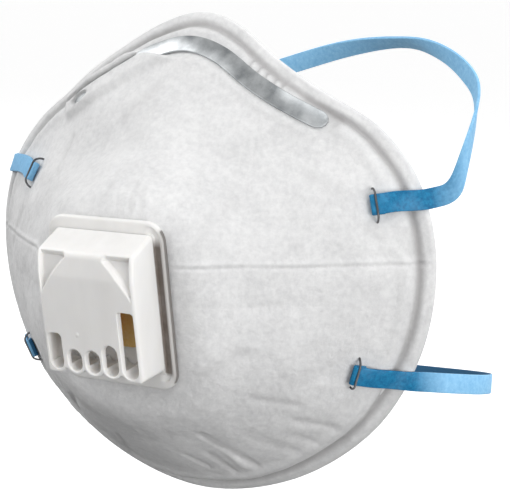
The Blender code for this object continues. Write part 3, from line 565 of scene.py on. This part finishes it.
def over_clip(turn, out, x, height):
    """The web's height where gathered beside the clip and drawn over its left half, and painted shade at the
    crease.
    """
    ring, part_way = clip_ring(turn)
    beside = (out - ring) * np.linalg.norm(cup(turn, 1.0) - HUB, axis=-1)
    within = 1 - smoothstep((part_way - CLIP_FADE) / 0.14)
    height = height * (1 - within * bump(beside, 3.2 * MM))
    height += within * GATHER_HEIGHT * (bump(beside - 3.5 * MM, 0.8 * MM) + bump(beside + 3.8 * MM, 1.0 * MM))
    left = smoothstep((-x - 9 * MM - 2.2 * beside) / (4 * MM))
    left = left * (1 - smoothstep((part_way - CLIP_FADE) / 0.08))
    # The clip's end shows again through a small oval gap
    gap = 1.6 - ((part_way - 0.81) / 0.06) ** 2 - ((beside + 1.0 * MM) / (1.0 * MM)) ** 2
    left = left * (1 - smoothstep(gap / 0.8))
    drawn = DRAWN_HEIGHT * smoothstep((4.4 * MM - np.abs(beside)) / (2.0 * MM))
    drawn = drawn - DRAWN_CREASE_DEPTH * bump(beside - DRAWN_CREASE, 0.45 * MM)
    # The second value is painted shade along the crease where the web is drawn over the clip
    return height + left * drawn, left * bump(beside - DRAWN_CREASE, 0.40 * MM)


def relief(turn, out, place):
    """Height of the cover web's folds and dents over the cup's plain surface, and the share of greyer weld
    and painted shade.
    """
    x, z = place[..., 0], place[..., 2]
    height = sum(tall * MM * rough(place, grain * MM, seed) for seed, (tall, grain) in enumerate(LUMPS, 1))
    upper_left = smoothstep((-x - 10 * MM) / (20 * MM)) * smoothstep(z / (20 * MM))
    weld_line = bump(out - WELD_RING, WELD_WIDTH)
    # The welded band is greyer, and its groove also gets painted shade, less at the upper left
    pressed_grey_and_painted_shade = (0.75 - 0.45 * upper_left) * weld_line
    for start, end, tall, width in FOLDS:
        crease = fold(x, z, start, end, tall, width)
        height += crease
        # Painted shade along each sunken fold
        pressed_grey_and_painted_shade = pressed_grey_and_painted_shade + 0.35 * np.clip(-crease / MM, 0.0, 1.0)
    for spot in UPPER_STAPLES + LOWER_STAPLES:
        height -= STAPLE_DENT * bump(np.hypot(x - spot[0] * MM, z - spot[1] * MM), STAPLE_DENT_WIDTH)
    # The seam: a pressed line with a soft welt above it
    seam = z - SEAM_Z - SEAM_WANDER * rough(place * (1, 0, 0), 12 * MM, 8)
    height += WELT_HEIGHT * bump(seam - WELT_RISE, WELT_WIDTH) - SEAM_DEPTH * bump(seam, SEAM_WIDTH)
    # The web swells beside the weld and is pressed hard along its inner edge
    height += SWELL_HEIGHT * bump(out - SWELL_RING, SWELL_WIDTH) - WELD_DEPTH * weld_line
    height, painted_crease_shade = over_clip(turn, out, x, height)
    height = np.where(out < SUPPORTED_TO, np.maximum(height, -DEEPEST), height)
    # It lies flat under the valve's flange and over the weld
    clear = np.maximum(np.abs(x) - FLANGE_HALF_WIDTH, np.abs(z - HUB[2]) - FLANGE_HALF_HEIGHT)
    height = height * smoothstep((clear + 0.5 * MM) / (4 * MM)) * (1 - smoothstep((out - 0.975) / 0.02))
    # Greyer weld and painted shade, with the painted shade of the clip's crease
    return height, np.clip(pressed_grey_and_painted_shade + 0.8 * painted_crease_shade, 0.0, 1.0)


def cover_web(look):
    """The cover web from the valve's hole out, round the welded rim's edge and back inside."""
    turn = (np.arange(WEB_COLUMNS) / WEB_COLUMNS)[:, None]
    out_front = np.concatenate([np.linspace(HOLE_RING, 0.94, 150), np.linspace(0.943, 0.994, 24)])[None, :]
    height, pressed_grey_and_painted_shade = relief(turn, out_front, cup(turn, out_front))
    front = on_cup(turn, out_front, height)
    edge = cup(turn, 1.0)
    rear_y = nose_bend(edge[..., 0], edge[..., 2])
    lip = []
    for out, depth in LIP:
        ring = HUB + (edge - HUB) * out
        ring[..., 1] = rear_y - RIM_THICKNESS * (1 - depth)
        lip.append(ring)
    out_back = np.linspace(EDGE_RING, HOLE_RING, 24)[None, :]
    back = on_cup(turn, out_back, np.full(out_back.shape, -WEB_THICKNESS))
    rings = np.concatenate([front, *lip, back], axis=1)
    obj = loft("cover_web", rings, look, closed=True)
    # The share of greyer weld and painted shade, read by the web's material
    shares = np.zeros(rings.shape[:2], np.float32)
    shares[:, :front.shape[1]] = pressed_grey_and_painted_shade
    obj.data.attributes.new("pressed_grey_and_painted_shade", "FLOAT", "POINT").data.foreach_set("value", shares.ravel())
    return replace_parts(obj, "outer_cover_web", "rim_weld")


def wall_layer(name, node, depth, thickness, look, finished=False):
    """A layer of the wall; a finished one has a lumpy inner face, drawn out to the rim's rear plane."""
    turn = (np.arange(LAYER_COLUMNS) / LAYER_COLUMNS)[:, None]
    out_front = np.linspace(HOLE_RING, EDGE_RING, 40)[None, :]
    out_back = np.linspace(WELD_RING if finished else EDGE_RING, HOLE_RING, 90)[None, :]
    front = on_cup(turn, out_front, np.full(out_front.shape, -depth))
    height = np.full(out_back.shape, -depth - thickness)
    if finished:
        base = cup(turn, out_back)
        lumps = 0.25 * MM * rough(base, 14 * MM, 5) + 0.08 * MM * rough(base, 3 * MM, 6)
        height = height + lumps
    back = on_cup(turn, out_back, height)
    if finished:
        edge = cup(turn, 1.0)
        flat = HUB + (edge - HUB) * out_back[..., None]
        flat[..., 1] = nose_bend(edge[..., 0], edge[..., 2]) - SHELL_SET_IN
        share = smoothstep((out_back - 0.905) / 0.05)[..., None]
        back = back * (1 - share) + flat * share
    obj = loft(name, np.concatenate([front, back], axis=1), look, closed=True)
    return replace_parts(obj, node)


# ---- Valve ----
def valve_place(points):
    """Takes points in u, v, w to the world."""
    sin, cos = math.sin(VALVE_TILT), math.cos(VALVE_TILT)
    axes = np.array([(1, 0, 0), (0, -sin, cos), (0, -cos, -sin)])
    return np.asarray(points) @ axes + VALVE_CENTRE


def carve(base, others, operation="DIFFERENCE"):
    """Cuts the others from the base, or joins them to it, and removes them."""
    for other in others:
        boolean = base.modifiers.new("boolean", "BOOLEAN")
        boolean.operation = operation
        boolean.object = other
        boolean.solver = "EXACT"
    graph = bpy.context.evaluated_depsgraph_get()
    mesh = bpy.data.meshes.new_from_object(base.evaluated_get(graph))
    base.modifiers.clear()
    base.data = mesh
    for other in others:
        bpy.data.objects.remove(other)
    mesh.shade_smooth()
    mesh.set_sharp_from_angle(angle=math.radians(VALVE_SHARP))
    return base


def prism(name, rings, look, **shape):
    """A solid in the valve's frame over rings of (u, v, w)."""
    return loft(name, [valve_place(ring) for ring in rings], look, **shape)


def level_ring(outline, w):
    """An outline in (u, v) at one height w."""
    return np.column_stack([outline, np.full(len(outline), w)])


def section_ring(u, section):
    """A cross-section in (v, w) at one u."""
    return np.column_stack([np.full(len(section), u), section])


def block(name, half_u, half_v, centre_v, levels, look):
    """A box in the valve's frame between two levels."""
    corners = np.array([(-half_u, -half_v), (half_u, -half_v), (half_u, half_v), (-half_u, half_v)])
    return prism(name, [level_ring(corners + (0.0, centre_v), w * MM) for w in levels], look)


def rounded_rectangle(angles, half_u, half_v, corner, centre_v=0.0):
    """The points of a rounded rectangle that are seen at these angles from the valve's axis."""
    rays = np.stack([np.cos(angles), np.sin(angles)], axis=1)
    low, high = np.zeros(len(angles)), np.full(len(angles), 2 * half_v)
    for _ in range(HALVINGS):
        middle = (low + high) / 2
        offset = np.abs(rays * middle[:, None] - (0.0, centre_v)) - (half_u - corner, half_v - corner)
        distance = np.linalg.norm(np.maximum(offset, 0.0), axis=1) + np.minimum(offset.max(axis=1), 0.0)
        outside = distance > corner
        low, high = np.where(outside, low, middle), np.where(outside, middle, high)
    return rays * low[:, None]


def valve_base(look):
    """Flange with a groove beside the cover, neck and sealing ring, cross ribs and clamp bar."""
    angles = math.tau * (np.arange(BASE_COLUMNS) + 0.5) / BASE_COLUMNS
    rings = []
    for inset, w in FLANGE_EDGE:
        outline = rounded_rectangle(angles, FLANGE_HALF_WIDTH - inset * MM, FLANGE_HALF_HEIGHT - inset * MM,
                                    FLANGE_CORNER - inset * MM)
        rings.append(level_ring(outline, w * MM))
    for grow, w in GROOVE:
        outline = rounded_rectangle(angles, COVER_HALF_WIDTH + grow * MM, GROOVE_HALF_HEIGHT + grow * MM,
                                    (1.2 + grow) * MM, 0.6 * MM)
        # It is open on the right only
        share = smoothstep((outline[:, 0] - 13.0 * MM) / (2.0 * MM))
        rings.append(np.column_stack([outline, FLANGE_FRONT - (FLANGE_FRONT - w * MM) * share]))
    circle = np.stack([np.cos(angles), np.sin(angles)], axis=1)
    rings += [level_ring(circle * radius * MM, w * MM) for radius, w in NECK_AND_SEAT]
    base = prism("valve_base", rings, look, closed=True, sharp=VALVE_SHARP)
    reach = ORIFICE_RADIUS + 0.6 * MM
    joined = [block("bar", FLAP_HALF_WIDTH, CLAMP_HALF_HEIGHT, CLAMP_V, (1.2, 2.98), look)]
    for half_u, half_v, front in ((reach, RIB_HALF_WIDTH, 1.5), (RIB_HALF_WIDTH, reach, 1.44)):
        joined.append(block("rib", half_u, half_v, 0.0, (0.05 - front, front), look))
    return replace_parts(carve(base, joined, "UNION"), "valve_seat")


def cover_front(u, v, plain=False):
    """Height of the cover's front at (u, v); plain leaves out the shield's outline."""
    down = (COVER_SHOULDER - v) / (COVER_SHOULDER - COVER_BOTTOM)
    w = COVER_FRONT_TOP + (COVER_FRONT_BOTTOM - COVER_FRONT_TOP) * down
    above = v - COVER_CREASE
    w = w - CREASE_LEAN * (above + np.sqrt(above ** 2 + (0.7 * MM) ** 2)) / 2
    if plain:
        return w
    heights, halves = np.array(SHIELD_OUTLINE).T * MM
    drop = SHIELD_DROP * smoothstep((np.abs(u) - np.interp(v, heights, halves)) / SHIELD_SLOPE)
    drop = drop * (1 - smoothstep((np.abs(u) - FRAME_INNER) / (0.25 * MM)))
    drop = drop * smoothstep((FRAME_TOP - v) / (0.45 * MM))
    crown = COVER_CROWN * (1 - (u / COVER_HALF_WIDTH) ** 2)
    from_gate = np.hypot(u - GATE_U, v - GATE_V)
    gate = GATE_HEIGHT * (1 - smoothstep((from_gate - GATE_RADIUS) / (0.25 * MM)))
    return w - drop + crown + gate


def corner_curve(before, corner, after, steps=6):
    """Points of a rounded corner, from one side of it to the other."""
    t = np.linspace(0.0, 1.0, steps)[:, None]
    return (1 - t) ** 2 * before + 2 * t * (1 - t) * corner + t ** 2 * after


def housing_section(u):
    """The cover's outline in (v, w) at one u: top slope, shoulder, front and scalloped bottom."""
    side = COVER_HALF_WIDTH - abs(u)
    inset = SIDE_ROUNDING - math.sqrt(SIDE_ROUNDING ** 2 - max(SIDE_ROUNDING - side, 0.0) ** 2)
    centres = np.array([slot[0] for slot in SLOTS]) * MM
    away = np.minimum(np.abs(np.clip(u, centres[0], centres[-1]) - centres).min(), LOBE_RADIUS)
    bottom = min(SLOT_FOOT - math.sqrt(LOBE_RADIUS ** 2 - away ** 2), CUSP) + inset
    shoulder = COVER_SHOULDER - 0.4 * inset
    top = np.array((COVER_TOP - inset, COVER_BACK))
    peak = np.array((shoulder, cover_front(u, shoulder) - inset))
    slope = (peak - top) / np.linalg.norm(peak - top)
    first, last = shoulder - SHOULDER_ROUNDING, bottom + FOOT_ROUNDING
    v = first + (last - first) * np.linspace(0.0, 1.0, 120) ** 1.2
    front = np.column_stack([v, cover_front(u, v) - inset])
    low = np.array((bottom, cover_front(u, bottom) - inset))
    foot = low - (0.0, FOOT_ROUNDING)
    rise = top + slope * np.linspace(0.0, np.linalg.norm(peak - top) - SHOULDER_ROUNDING, 10)[:, None]
    fall = np.column_stack([np.full(6, bottom), np.linspace(foot[1], COVER_BACK, 6)])
    return np.concatenate([rise[:-1], corner_curve(rise[-1], peak, front[0]), front[1:-1],
                           corner_curve(front[-1], low, foot), fall[1:]])


def quarter(centre_u, centre_v, radius, first):
    """A quarter of a circle that starts at this angle."""
    angles = np.linspace(first, first + math.pi / 2, 9)
    return np.column_stack([centre_u + radius * np.cos(angles), centre_v + radius * np.sin(angles)])


def slot_cutter(centre, half, top, top_corner, look):
    """A cutter for one slot, flared at the front so that the slot's edge is rounded."""
    centre, half, top, top_corner = (value * MM for value in (centre, half, top, top_corner))
    rings = []
    for grow, depth in SLOT_FLARE:
        foot = [quarter(centre, SLOT_FOOT, half + grow * MM, first) for first in (math.pi, 1.5 * math.pi)]
        head = [quarter(centre + side * (half - top_corner), top - top_corner, top_corner + grow * MM, first)
                for side, first in ((1, 0.0), (-1, math.pi / 2))]
        outline = np.concatenate(foot + head)
        w = cover_front(outline[:, 0], outline[:, 1], plain=True) + COVER_CROWN - depth * MM
        rings.append(np.column_stack([outline, w]))
    rings.append(level_ring(outline, COVER_BACK - 0.5 * MM))
    return prism("slot", rings, look)


def valve_housing(look):
    """The valve's cover: a box with a sloping top, a raised shield and five slots in its scalloped foot."""
    edge = np.array(EDGE_COLUMNS) * MM
    columns = np.concatenate([-edge[::-1], np.linspace(-13.5 * MM, 13.5 * MM, 151), edge])
    rings = [section_ring(u, housing_section(u)) for u in columns]
    housing = prism("valve_housing", rings, look, sharp=VALVE_SHARP)
    inner = COVER_HALF_WIDTH - COVER_WALL
    hollow = [section_ring(u, np.array(HOLLOW) * MM) for u in (-inner, inner)]
    cutters = [prism("hollow", hollow, look)]
    cutters += [slot_cutter(*slot, look) for slot in SLOTS]
    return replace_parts(carve(housing, cutters), "valve_cover")


def flap_sheet(look):
    """The rubber flap: clamped above its bend, free below it."""
    v = np.linspace(FLAP_BOTTOM, FLAP_TOP, 90)
    low = np.minimum(v - FLAP_BOTTOM - FLAP_CORNER, 0.0)
    half = FLAP_HALF_WIDTH - FLAP_CORNER + np.sqrt(FLAP_CORNER ** 2 - low ** 2)
    # This profile is 2 wide, and each ring scales it to its half width
    profile = rounded_profile(2.0, FLAP_THICKNESS, 0.15 * MM, corner_width=0.02)
    rings = [np.column_stack([profile[:, 0] * width, np.full(len(profile), height),
                              profile[:, 1] + FLAP_CENTRE_W]) for height, width in zip(v, half)]
    flap = prism("flap_sheet", rings, look)
    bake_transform(flap)
    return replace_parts(flap, "valve_flap", "flap_clamped_edge")


# ---- Bands ----
def rounded_profile(width, thickness, corner, corner_width=None, steps=4):
    """A band's cross-section with round corners, as wide as they are high unless a width is given."""
    corner_width = corner if corner_width is None else corner_width
    points = []
    for side, face, first in ((1, 1, 0), (-1, 1, 1), (-1, -1, 2), (1, -1, 3)):
        angles = (first + np.linspace(0.0, 1.0, steps)) * math.pi / 2
        points.append(np.column_stack([side * (width / 2 - corner_width) + corner_width * np.cos(angles),
                                       face * (thickness / 2 - corner) + corner * np.sin(angles)]))
    return np.concatenate(points)


def sweep(name, places, across, normals, profile, look, share=None):
    """A profile carried along places; share is how much of its width it has at each."""
    share = np.ones(len(places)) if share is None else share
    rings = (places[:, None] + across[:, None] * (profile[None, :, :1] * share[:, None, None])
             + normals[:, None] * profile[None, :, 1:])
    return loft(name, rings, look)


def nose_strip(look):
    """The soft aluminium strip on the nose, with round ends."""
    turns = nose_reach(CLIP_HALF_LENGTH) * np.sin(np.linspace(-1.0, 1.0, 181) * math.pi / 2)
    turns = np.where(turns < 0, turns * CLIP_LEFT_SHARE, turns)
    ring, part_way = clip_ring(turns)
    normals = cup_normal(turns, ring)
    along = unit(cup(turns + SLOPE_STEP, ring) - cup(turns - SLOPE_STEP, ring))
    across = unit(np.cross(normals, along))
    part_way = np.where(turns < 0, part_way / CLIP_LEFT_SHARE, part_way)
    from_end = np.clip((1 - part_way) * CLIP_HALF_LENGTH / CLIP_HALF_WIDTH + 0.02, 0.0, 1.0)
    places = on_cup(turns, ring, np.full(len(turns), 0.15 * MM + CLIP_THICKNESS / 2))
    places = places + normals * (0.10 * MM * rough(places, 9 * MM, 4))[:, None]
    profile = rounded_profile(2 * CLIP_HALF_WIDTH, CLIP_THICKNESS, BAND_CORNER)
    strip = sweep("nose_strip", places, across, normals, profile, look, np.sqrt(1 - (1 - from_end) ** 2))
    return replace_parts(strip, "nose_clip")


def nose_pad(look):
    """The foam strip inside the nose, crowned and pressed against the shell."""
    part_way = np.linspace(-1.0, 1.0, 141)
    turns = nose_reach(FOAM_HALF_LENGTH) * part_way
    angles = math.tau * np.arange(48) / 48
    ring_side, depth_side = (np.sign(side) * np.abs(side) ** FOAM_SQUARENESS
                             for side in (np.cos(angles), np.sin(angles)))
    at_end = np.clip((1 - np.abs(part_way)) * FOAM_HALF_LENGTH / FOAM_END_ROUNDING, 0.0, 1.0)
    share = (0.75 + 0.25 * np.sqrt(1 - (1 - at_end) ** 2))[:, None]
    middle, half = (FOAM_FRONT + FOAM_REAR) / 2, (FOAM_REAR - FOAM_FRONT) / 2
    outs = FOAM_RING + FOAM_HALF_RING * share * ring_side
    crown = FOAM_CROWN * np.maximum(depth_side, 0) * (1 - ring_side ** 2)
    places = on_cup(turns[:, None], outs, -(middle + half * share * depth_side + crown))
    places = places - cup_normal(turns[:, None], outs) * (0.12 * MM * rough(places, 2.5 * MM, 9))[..., None]
    pad = loft("nose_pad", places, look)
    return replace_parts(pad, "nose_foam")


def strap_frame(spot, loop_end):
    """Foot of a stapled end, and its directions out to the rim, across the strap and out of the cup."""
    turn, out = find_on_cup(spot[0] * MM, spot[1] * MM)
    foot, normal = cup(turn, out), cup_normal(turn, out)
    outward = np.array(loop_end[0]) * MM - foot
    outward = unit(outward - normal * (outward @ normal))
    return foot, outward, np.cross(normal, outward), normal


def strap_end(spot, loop_end):
    """Rows of place and width direction: the end's folded tip, and its run over the cup to the rim."""
    foot, outward, across, normal = strap_frame(spot, loop_end)
    across = across * np.sign(across[2])
    low = PRESSED + STRAP_THICKNESS / 2
    high = low + STRAP_THICKNESS + PRESSED
    tip, radius = -FOLD_PAST_STAPLE, (high - low) / 2
    straight = np.linspace(tip + FOLD_LENGTH, tip, 8)
    bend = np.linspace(0.0, math.pi, 13)[1:-1]
    along = np.concatenate([straight, tip - radius * np.sin(bend), straight[::-1]])
    height = np.concatenate([np.full(8, low), low + radius - radius * np.cos(bend), np.full(8, high)])
    tip_places = foot + along[:, None] * outward + height[:, None] * normal
    start_turn, start_out = find_on_cup(tip_places[-1, 0], tip_places[-1, 2])
    exit_turn = find_on_cup(loop_end[0][0] * MM, loop_end[0][2] * MM)[0]
    part_way = np.linspace(0.0, 1.0, 17)[1:]
    turns = start_turn + (exit_turn - start_turn) * part_way
    outs = start_out + (1.0 - start_out) * part_way
    sunk = (high - STRAP_CLEARANCE - STRAP_THICKNESS / 2) * smoothstep(2 * part_way)
    widths = across + (np.array(loop_end[1]) - across) * part_way[:, None]
    normals = cup_normal(turns, outs)
    widths = widths - normals * (widths * normals).sum(axis=1, keepdims=True)
    run = np.column_stack([on_cup(turns, outs, high - sunk), unit(widths)])
    return np.column_stack([tip_places, np.tile(across, (len(tip_places), 1))]), run


def resample(rows, step):
    """The same rows spread evenly along their places."""
    steps = np.linalg.norm(np.diff(rows[:, :3], axis=0), axis=1)
    along = np.concatenate([[0.0], np.cumsum(steps)])
    even = np.linspace(0.0, along[-1], int(along[-1] / step) + 1)
    return np.column_stack([np.interp(even, along, column) for column in rows.T])


def strap(name, spots, loop, nodes, look):
    """One whole head strap: both stapled ends and the free loop between them."""
    right_tip, right_run = strap_end(spots[0], loop[0])
    left_tip, left_run = strap_end(spots[1], loop[-1])
    controls = np.array([(*place, *width) for place, width in loop])
    controls[:, :3] *= MM
    free = spline(controls, np.linspace(0.0, len(loop) - 1, 400))
    free[:, 3:] = unit(free[:, 3:])
    middle = np.concatenate([right_tip[-1:], right_run, free, left_run[::-1], left_tip[-1:]])
    middle = resample(middle, STRAP_STEP)
    for _ in range(STRAP_SMOOTHINGS):
        middle[1:-1] = (middle[:-2] + 2 * middle[1:-1] + middle[2:]) / 4
    rows = np.concatenate([right_tip[:-1], middle, left_tip[-2::-1]])
    places = rows[:, :3]
    along = unit(np.gradient(places, axis=0))
    across = unit(rows[:, 3:] - along * (rows[:, 3:] * along).sum(axis=1, keepdims=True))
    profile = rounded_profile(STRAP_WIDTH, STRAP_THICKNESS, BAND_CORNER)
    band = sweep(name, places, across, np.cross(along, across), profile, look)
    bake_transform(band)
    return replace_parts(band, *nodes)


def staple_wire(name, spot, loop_end, node, look):
    """A wire staple with rounded bends, its legs bent over inside the cup."""
    foot, outward, across, normal = strap_frame(spot, loop_end)
    top = 2 * PRESSED + 2 * STRAP_THICKNESS + STAPLE_WIRE - 0.05 * MM
    inside, half = -(WALL + GAP + STAPLE_WIRE), STAPLE_WIDTH / 2 - STAPLE_WIRE
    corners = [(0.6 * MM, inside), (half, inside), (half, 0.4 * MM), (STRAP_WIDTH / 2 + 0.5 * MM, top)]
    corners = np.array(corners + [(-a, h) for a, h in reversed(corners)])
    path = [corners[:1]]
    for before, corner, after in zip(corners, corners[1:], corners[2:]):
        first, last = (corner + STAPLE_BEND * unit(other - corner) for other in (before, after))
        path.append(corner_curve(first, corner, last, 9))
    path = np.concatenate(path + [corners[-1:]])
    path[:, 1] += 0.12 * MM * np.sin(path[:, 0] / half * math.pi / 2 + spot[0])
    places = foot + path[:, :1] * across + path[:, 1:] * normal
    along = unit(np.gradient(places, axis=0))
    angles = math.tau * np.arange(14) / 14
    circle = STAPLE_WIRE * np.column_stack([np.cos(angles), np.sin(angles)])
    sides = np.tile(outward, (len(places), 1))
    wire = sweep(name, places, sides, np.cross(along, sides), circle, look)
    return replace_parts(wire, node)


def main():
    web_look = nonwoven("white nonwoven", (0.85, 0.85, 0.85), (0.66, 0.66, 0.665), pressed_grey_and_painted_shade=True)
    filter_look = nonwoven("filter web look", (0.80, 0.81, 0.83), (0.72, 0.73, 0.75), 0.2)
    shell_look = nonwoven("moulded fibre", (0.80, 0.80, 0.78), (0.70, 0.70, 0.68), 0.2)
    white_tones = (0.87, 0.86, 0.845), (0.81, 0.80, 0.785), 0.38
    cover_look = plastic("white moulded plastic", *white_tones)
    # This copy of the plastic carries painted shade by the groove and a painted shadow at the flange's edge
    flange_look = shade_groove(plastic("white moulded flange", *white_tones))
    band_look = elastic("blue elastic")
    clip_look = metal("soft aluminium", (0.56, 0.58, 0.59), (0.26, 0.275, 0.285), 0.34)
    wire_look = metal("staple steel", (0.15, 0.15, 0.155), (0.07, 0.07, 0.075), 0.38, brushed=False)
    riding = [(cover_web(web_look), "white_nonwoven"),
              (wall_layer("filter_layer", "filter_web", *FILTER_LAYER, filter_look), "filter_web"),
              (wall_layer("inner_shell", "moulded_shell", *SHELL_LAYER, shell_look, True), "moulded_fibre"),
              (nose_strip(clip_look), "nose_clip_metal"),
              (nose_pad(foam("grey foam look")), "grey_foam"),
              (valve_base(flange_look), "white_plastic"),
              (valve_housing(cover_look), "white_plastic")]
    bending = [(flap_sheet(rubber("flap rubber look")), "flap_rubber")]
    for level, spots, loop in (("upper", UPPER_STAPLES, UPPER_LOOP), ("lower", LOWER_STAPLES, LOWER_LOOP)):
        body = f"{level}_strap"
        nodes = [f"{body}_{part}" for part in ("loop", "end_right", "end_left")]
        bending.append((strap(body, spots, loop, nodes, band_look), "blue_elastic"))
        for side, spot, end in (("right", spots[0], loop[0]), ("left", spots[1], loop[-1])):
            wire = staple_wire(f"{level}_wire_{side}", spot, end, f"{level}_staple_{side}", wire_look)
            riding.append((wire, "staple_wire"))
    for piece, _ in riding:
        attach(piece, "mask")


def set_camera(scene):
    sin_a, cos_a = math.sin(CAMERA_AZIMUTH), math.cos(CAMERA_AZIMUTH)
    sin_e, cos_e = math.sin(CAMERA_ELEVATION), math.cos(CAMERA_ELEVATION)
    back = Vector((sin_a * cos_e, -cos_a * cos_e, sin_e))
    right = Vector((cos_a, sin_a, 0.0))
    up = back.cross(right)
    data = bpy.data.cameras.new("camera")
    data.sensor_width = 36.0
    data.lens = CAMERA_LENS
    camera = bpy.data.objects.new("camera", data)
    camera.matrix_world = Matrix((right, up, back)).transposed().to_4x4()
    camera.location = back * CAMERA_DISTANCE + right * CAMERA_SIDE + up * CAMERA_LIFT
    scene.collection.objects.link(camera)
    scene.camera = camera


def set_lights(scene):
    world = bpy.data.worlds.new("studio")
    world.use_nodes = True
    tree = world.node_tree
    height = axis(tree, put(tree, "ShaderNodeTexCoord").outputs["Generated"], "Z")
    # A sky that brightens upwards, with a bright band above the horizon
    band = math_node(tree, "MULTIPLY", ramp(tree, height, -0.10, -0.03, 0.0, 0.60),
                     ramp(tree, height, 0.22, 0.50, 1.0, 0.0))
    strength = math_node(tree, "ADD", ramp(tree, height, -0.36, 0.5, 0.0, 0.57), band)
    background = tree.nodes["Background"].inputs
    feed(tree, background["Strength"], strength)
    feed(tree, background["Color"], (1.0, 1.0, 1.0))
    scene.world = world
    for name, kind, place, size, power in LAMPS:
        light = bpy.data.lights.new(name, kind)
        setattr(light, "angle" if kind == "SUN" else "size", size)
        light.energy = power
        lamp = bpy.data.objects.new(name, light)
        lamp.location = place
        lamp.rotation_euler = (-Vector(place)).to_track_quat("-Z", "Y").to_euler()
        scene.collection.objects.link(lamp)
    scene.view_settings.view_transform = "Standard"


def lay_floor(scene):
    mesh = bpy.data.meshes.new("floor")
    level = CAD_BOX[0][2] - FLOOR_DROP
    corners = [(x * FLOOR_REACH, y * FLOOR_REACH, level) for x, y in ((-1, -1), (1, -1), (1, 1), (-1, 1))]
    mesh.from_pydata(corners, [], [(0, 1, 2, 3)])
    floor_look, tree, shader, place = start_material("pale floor", Roughness=0.9, Emission_Strength=0.25,
                                                     Emission_Color=(1.0, 1.0, 1.0))
    tone = noise_value(tree, place, 0.3, detail=2.0)
    feed(tree, shader.inputs["Base Color"], mix_colour(tree, tone, (0.93, 0.93, 0.93), (0.95, 0.95, 0.95)))
    mesh.materials.append(floor_look)
    floor = bpy.data.objects.new("floor", mesh)
    floor.visible_diffuse = False    # the world's paler lower half stands for light from the floor
    floor.visible_shadow = False     # and the right fill shines up through it
    scene.collection.objects.link(floor)


set_camera(bpy.context.scene)
set_lights(bpy.context.scene)
lay_floor(bpy.context.scene)
main()
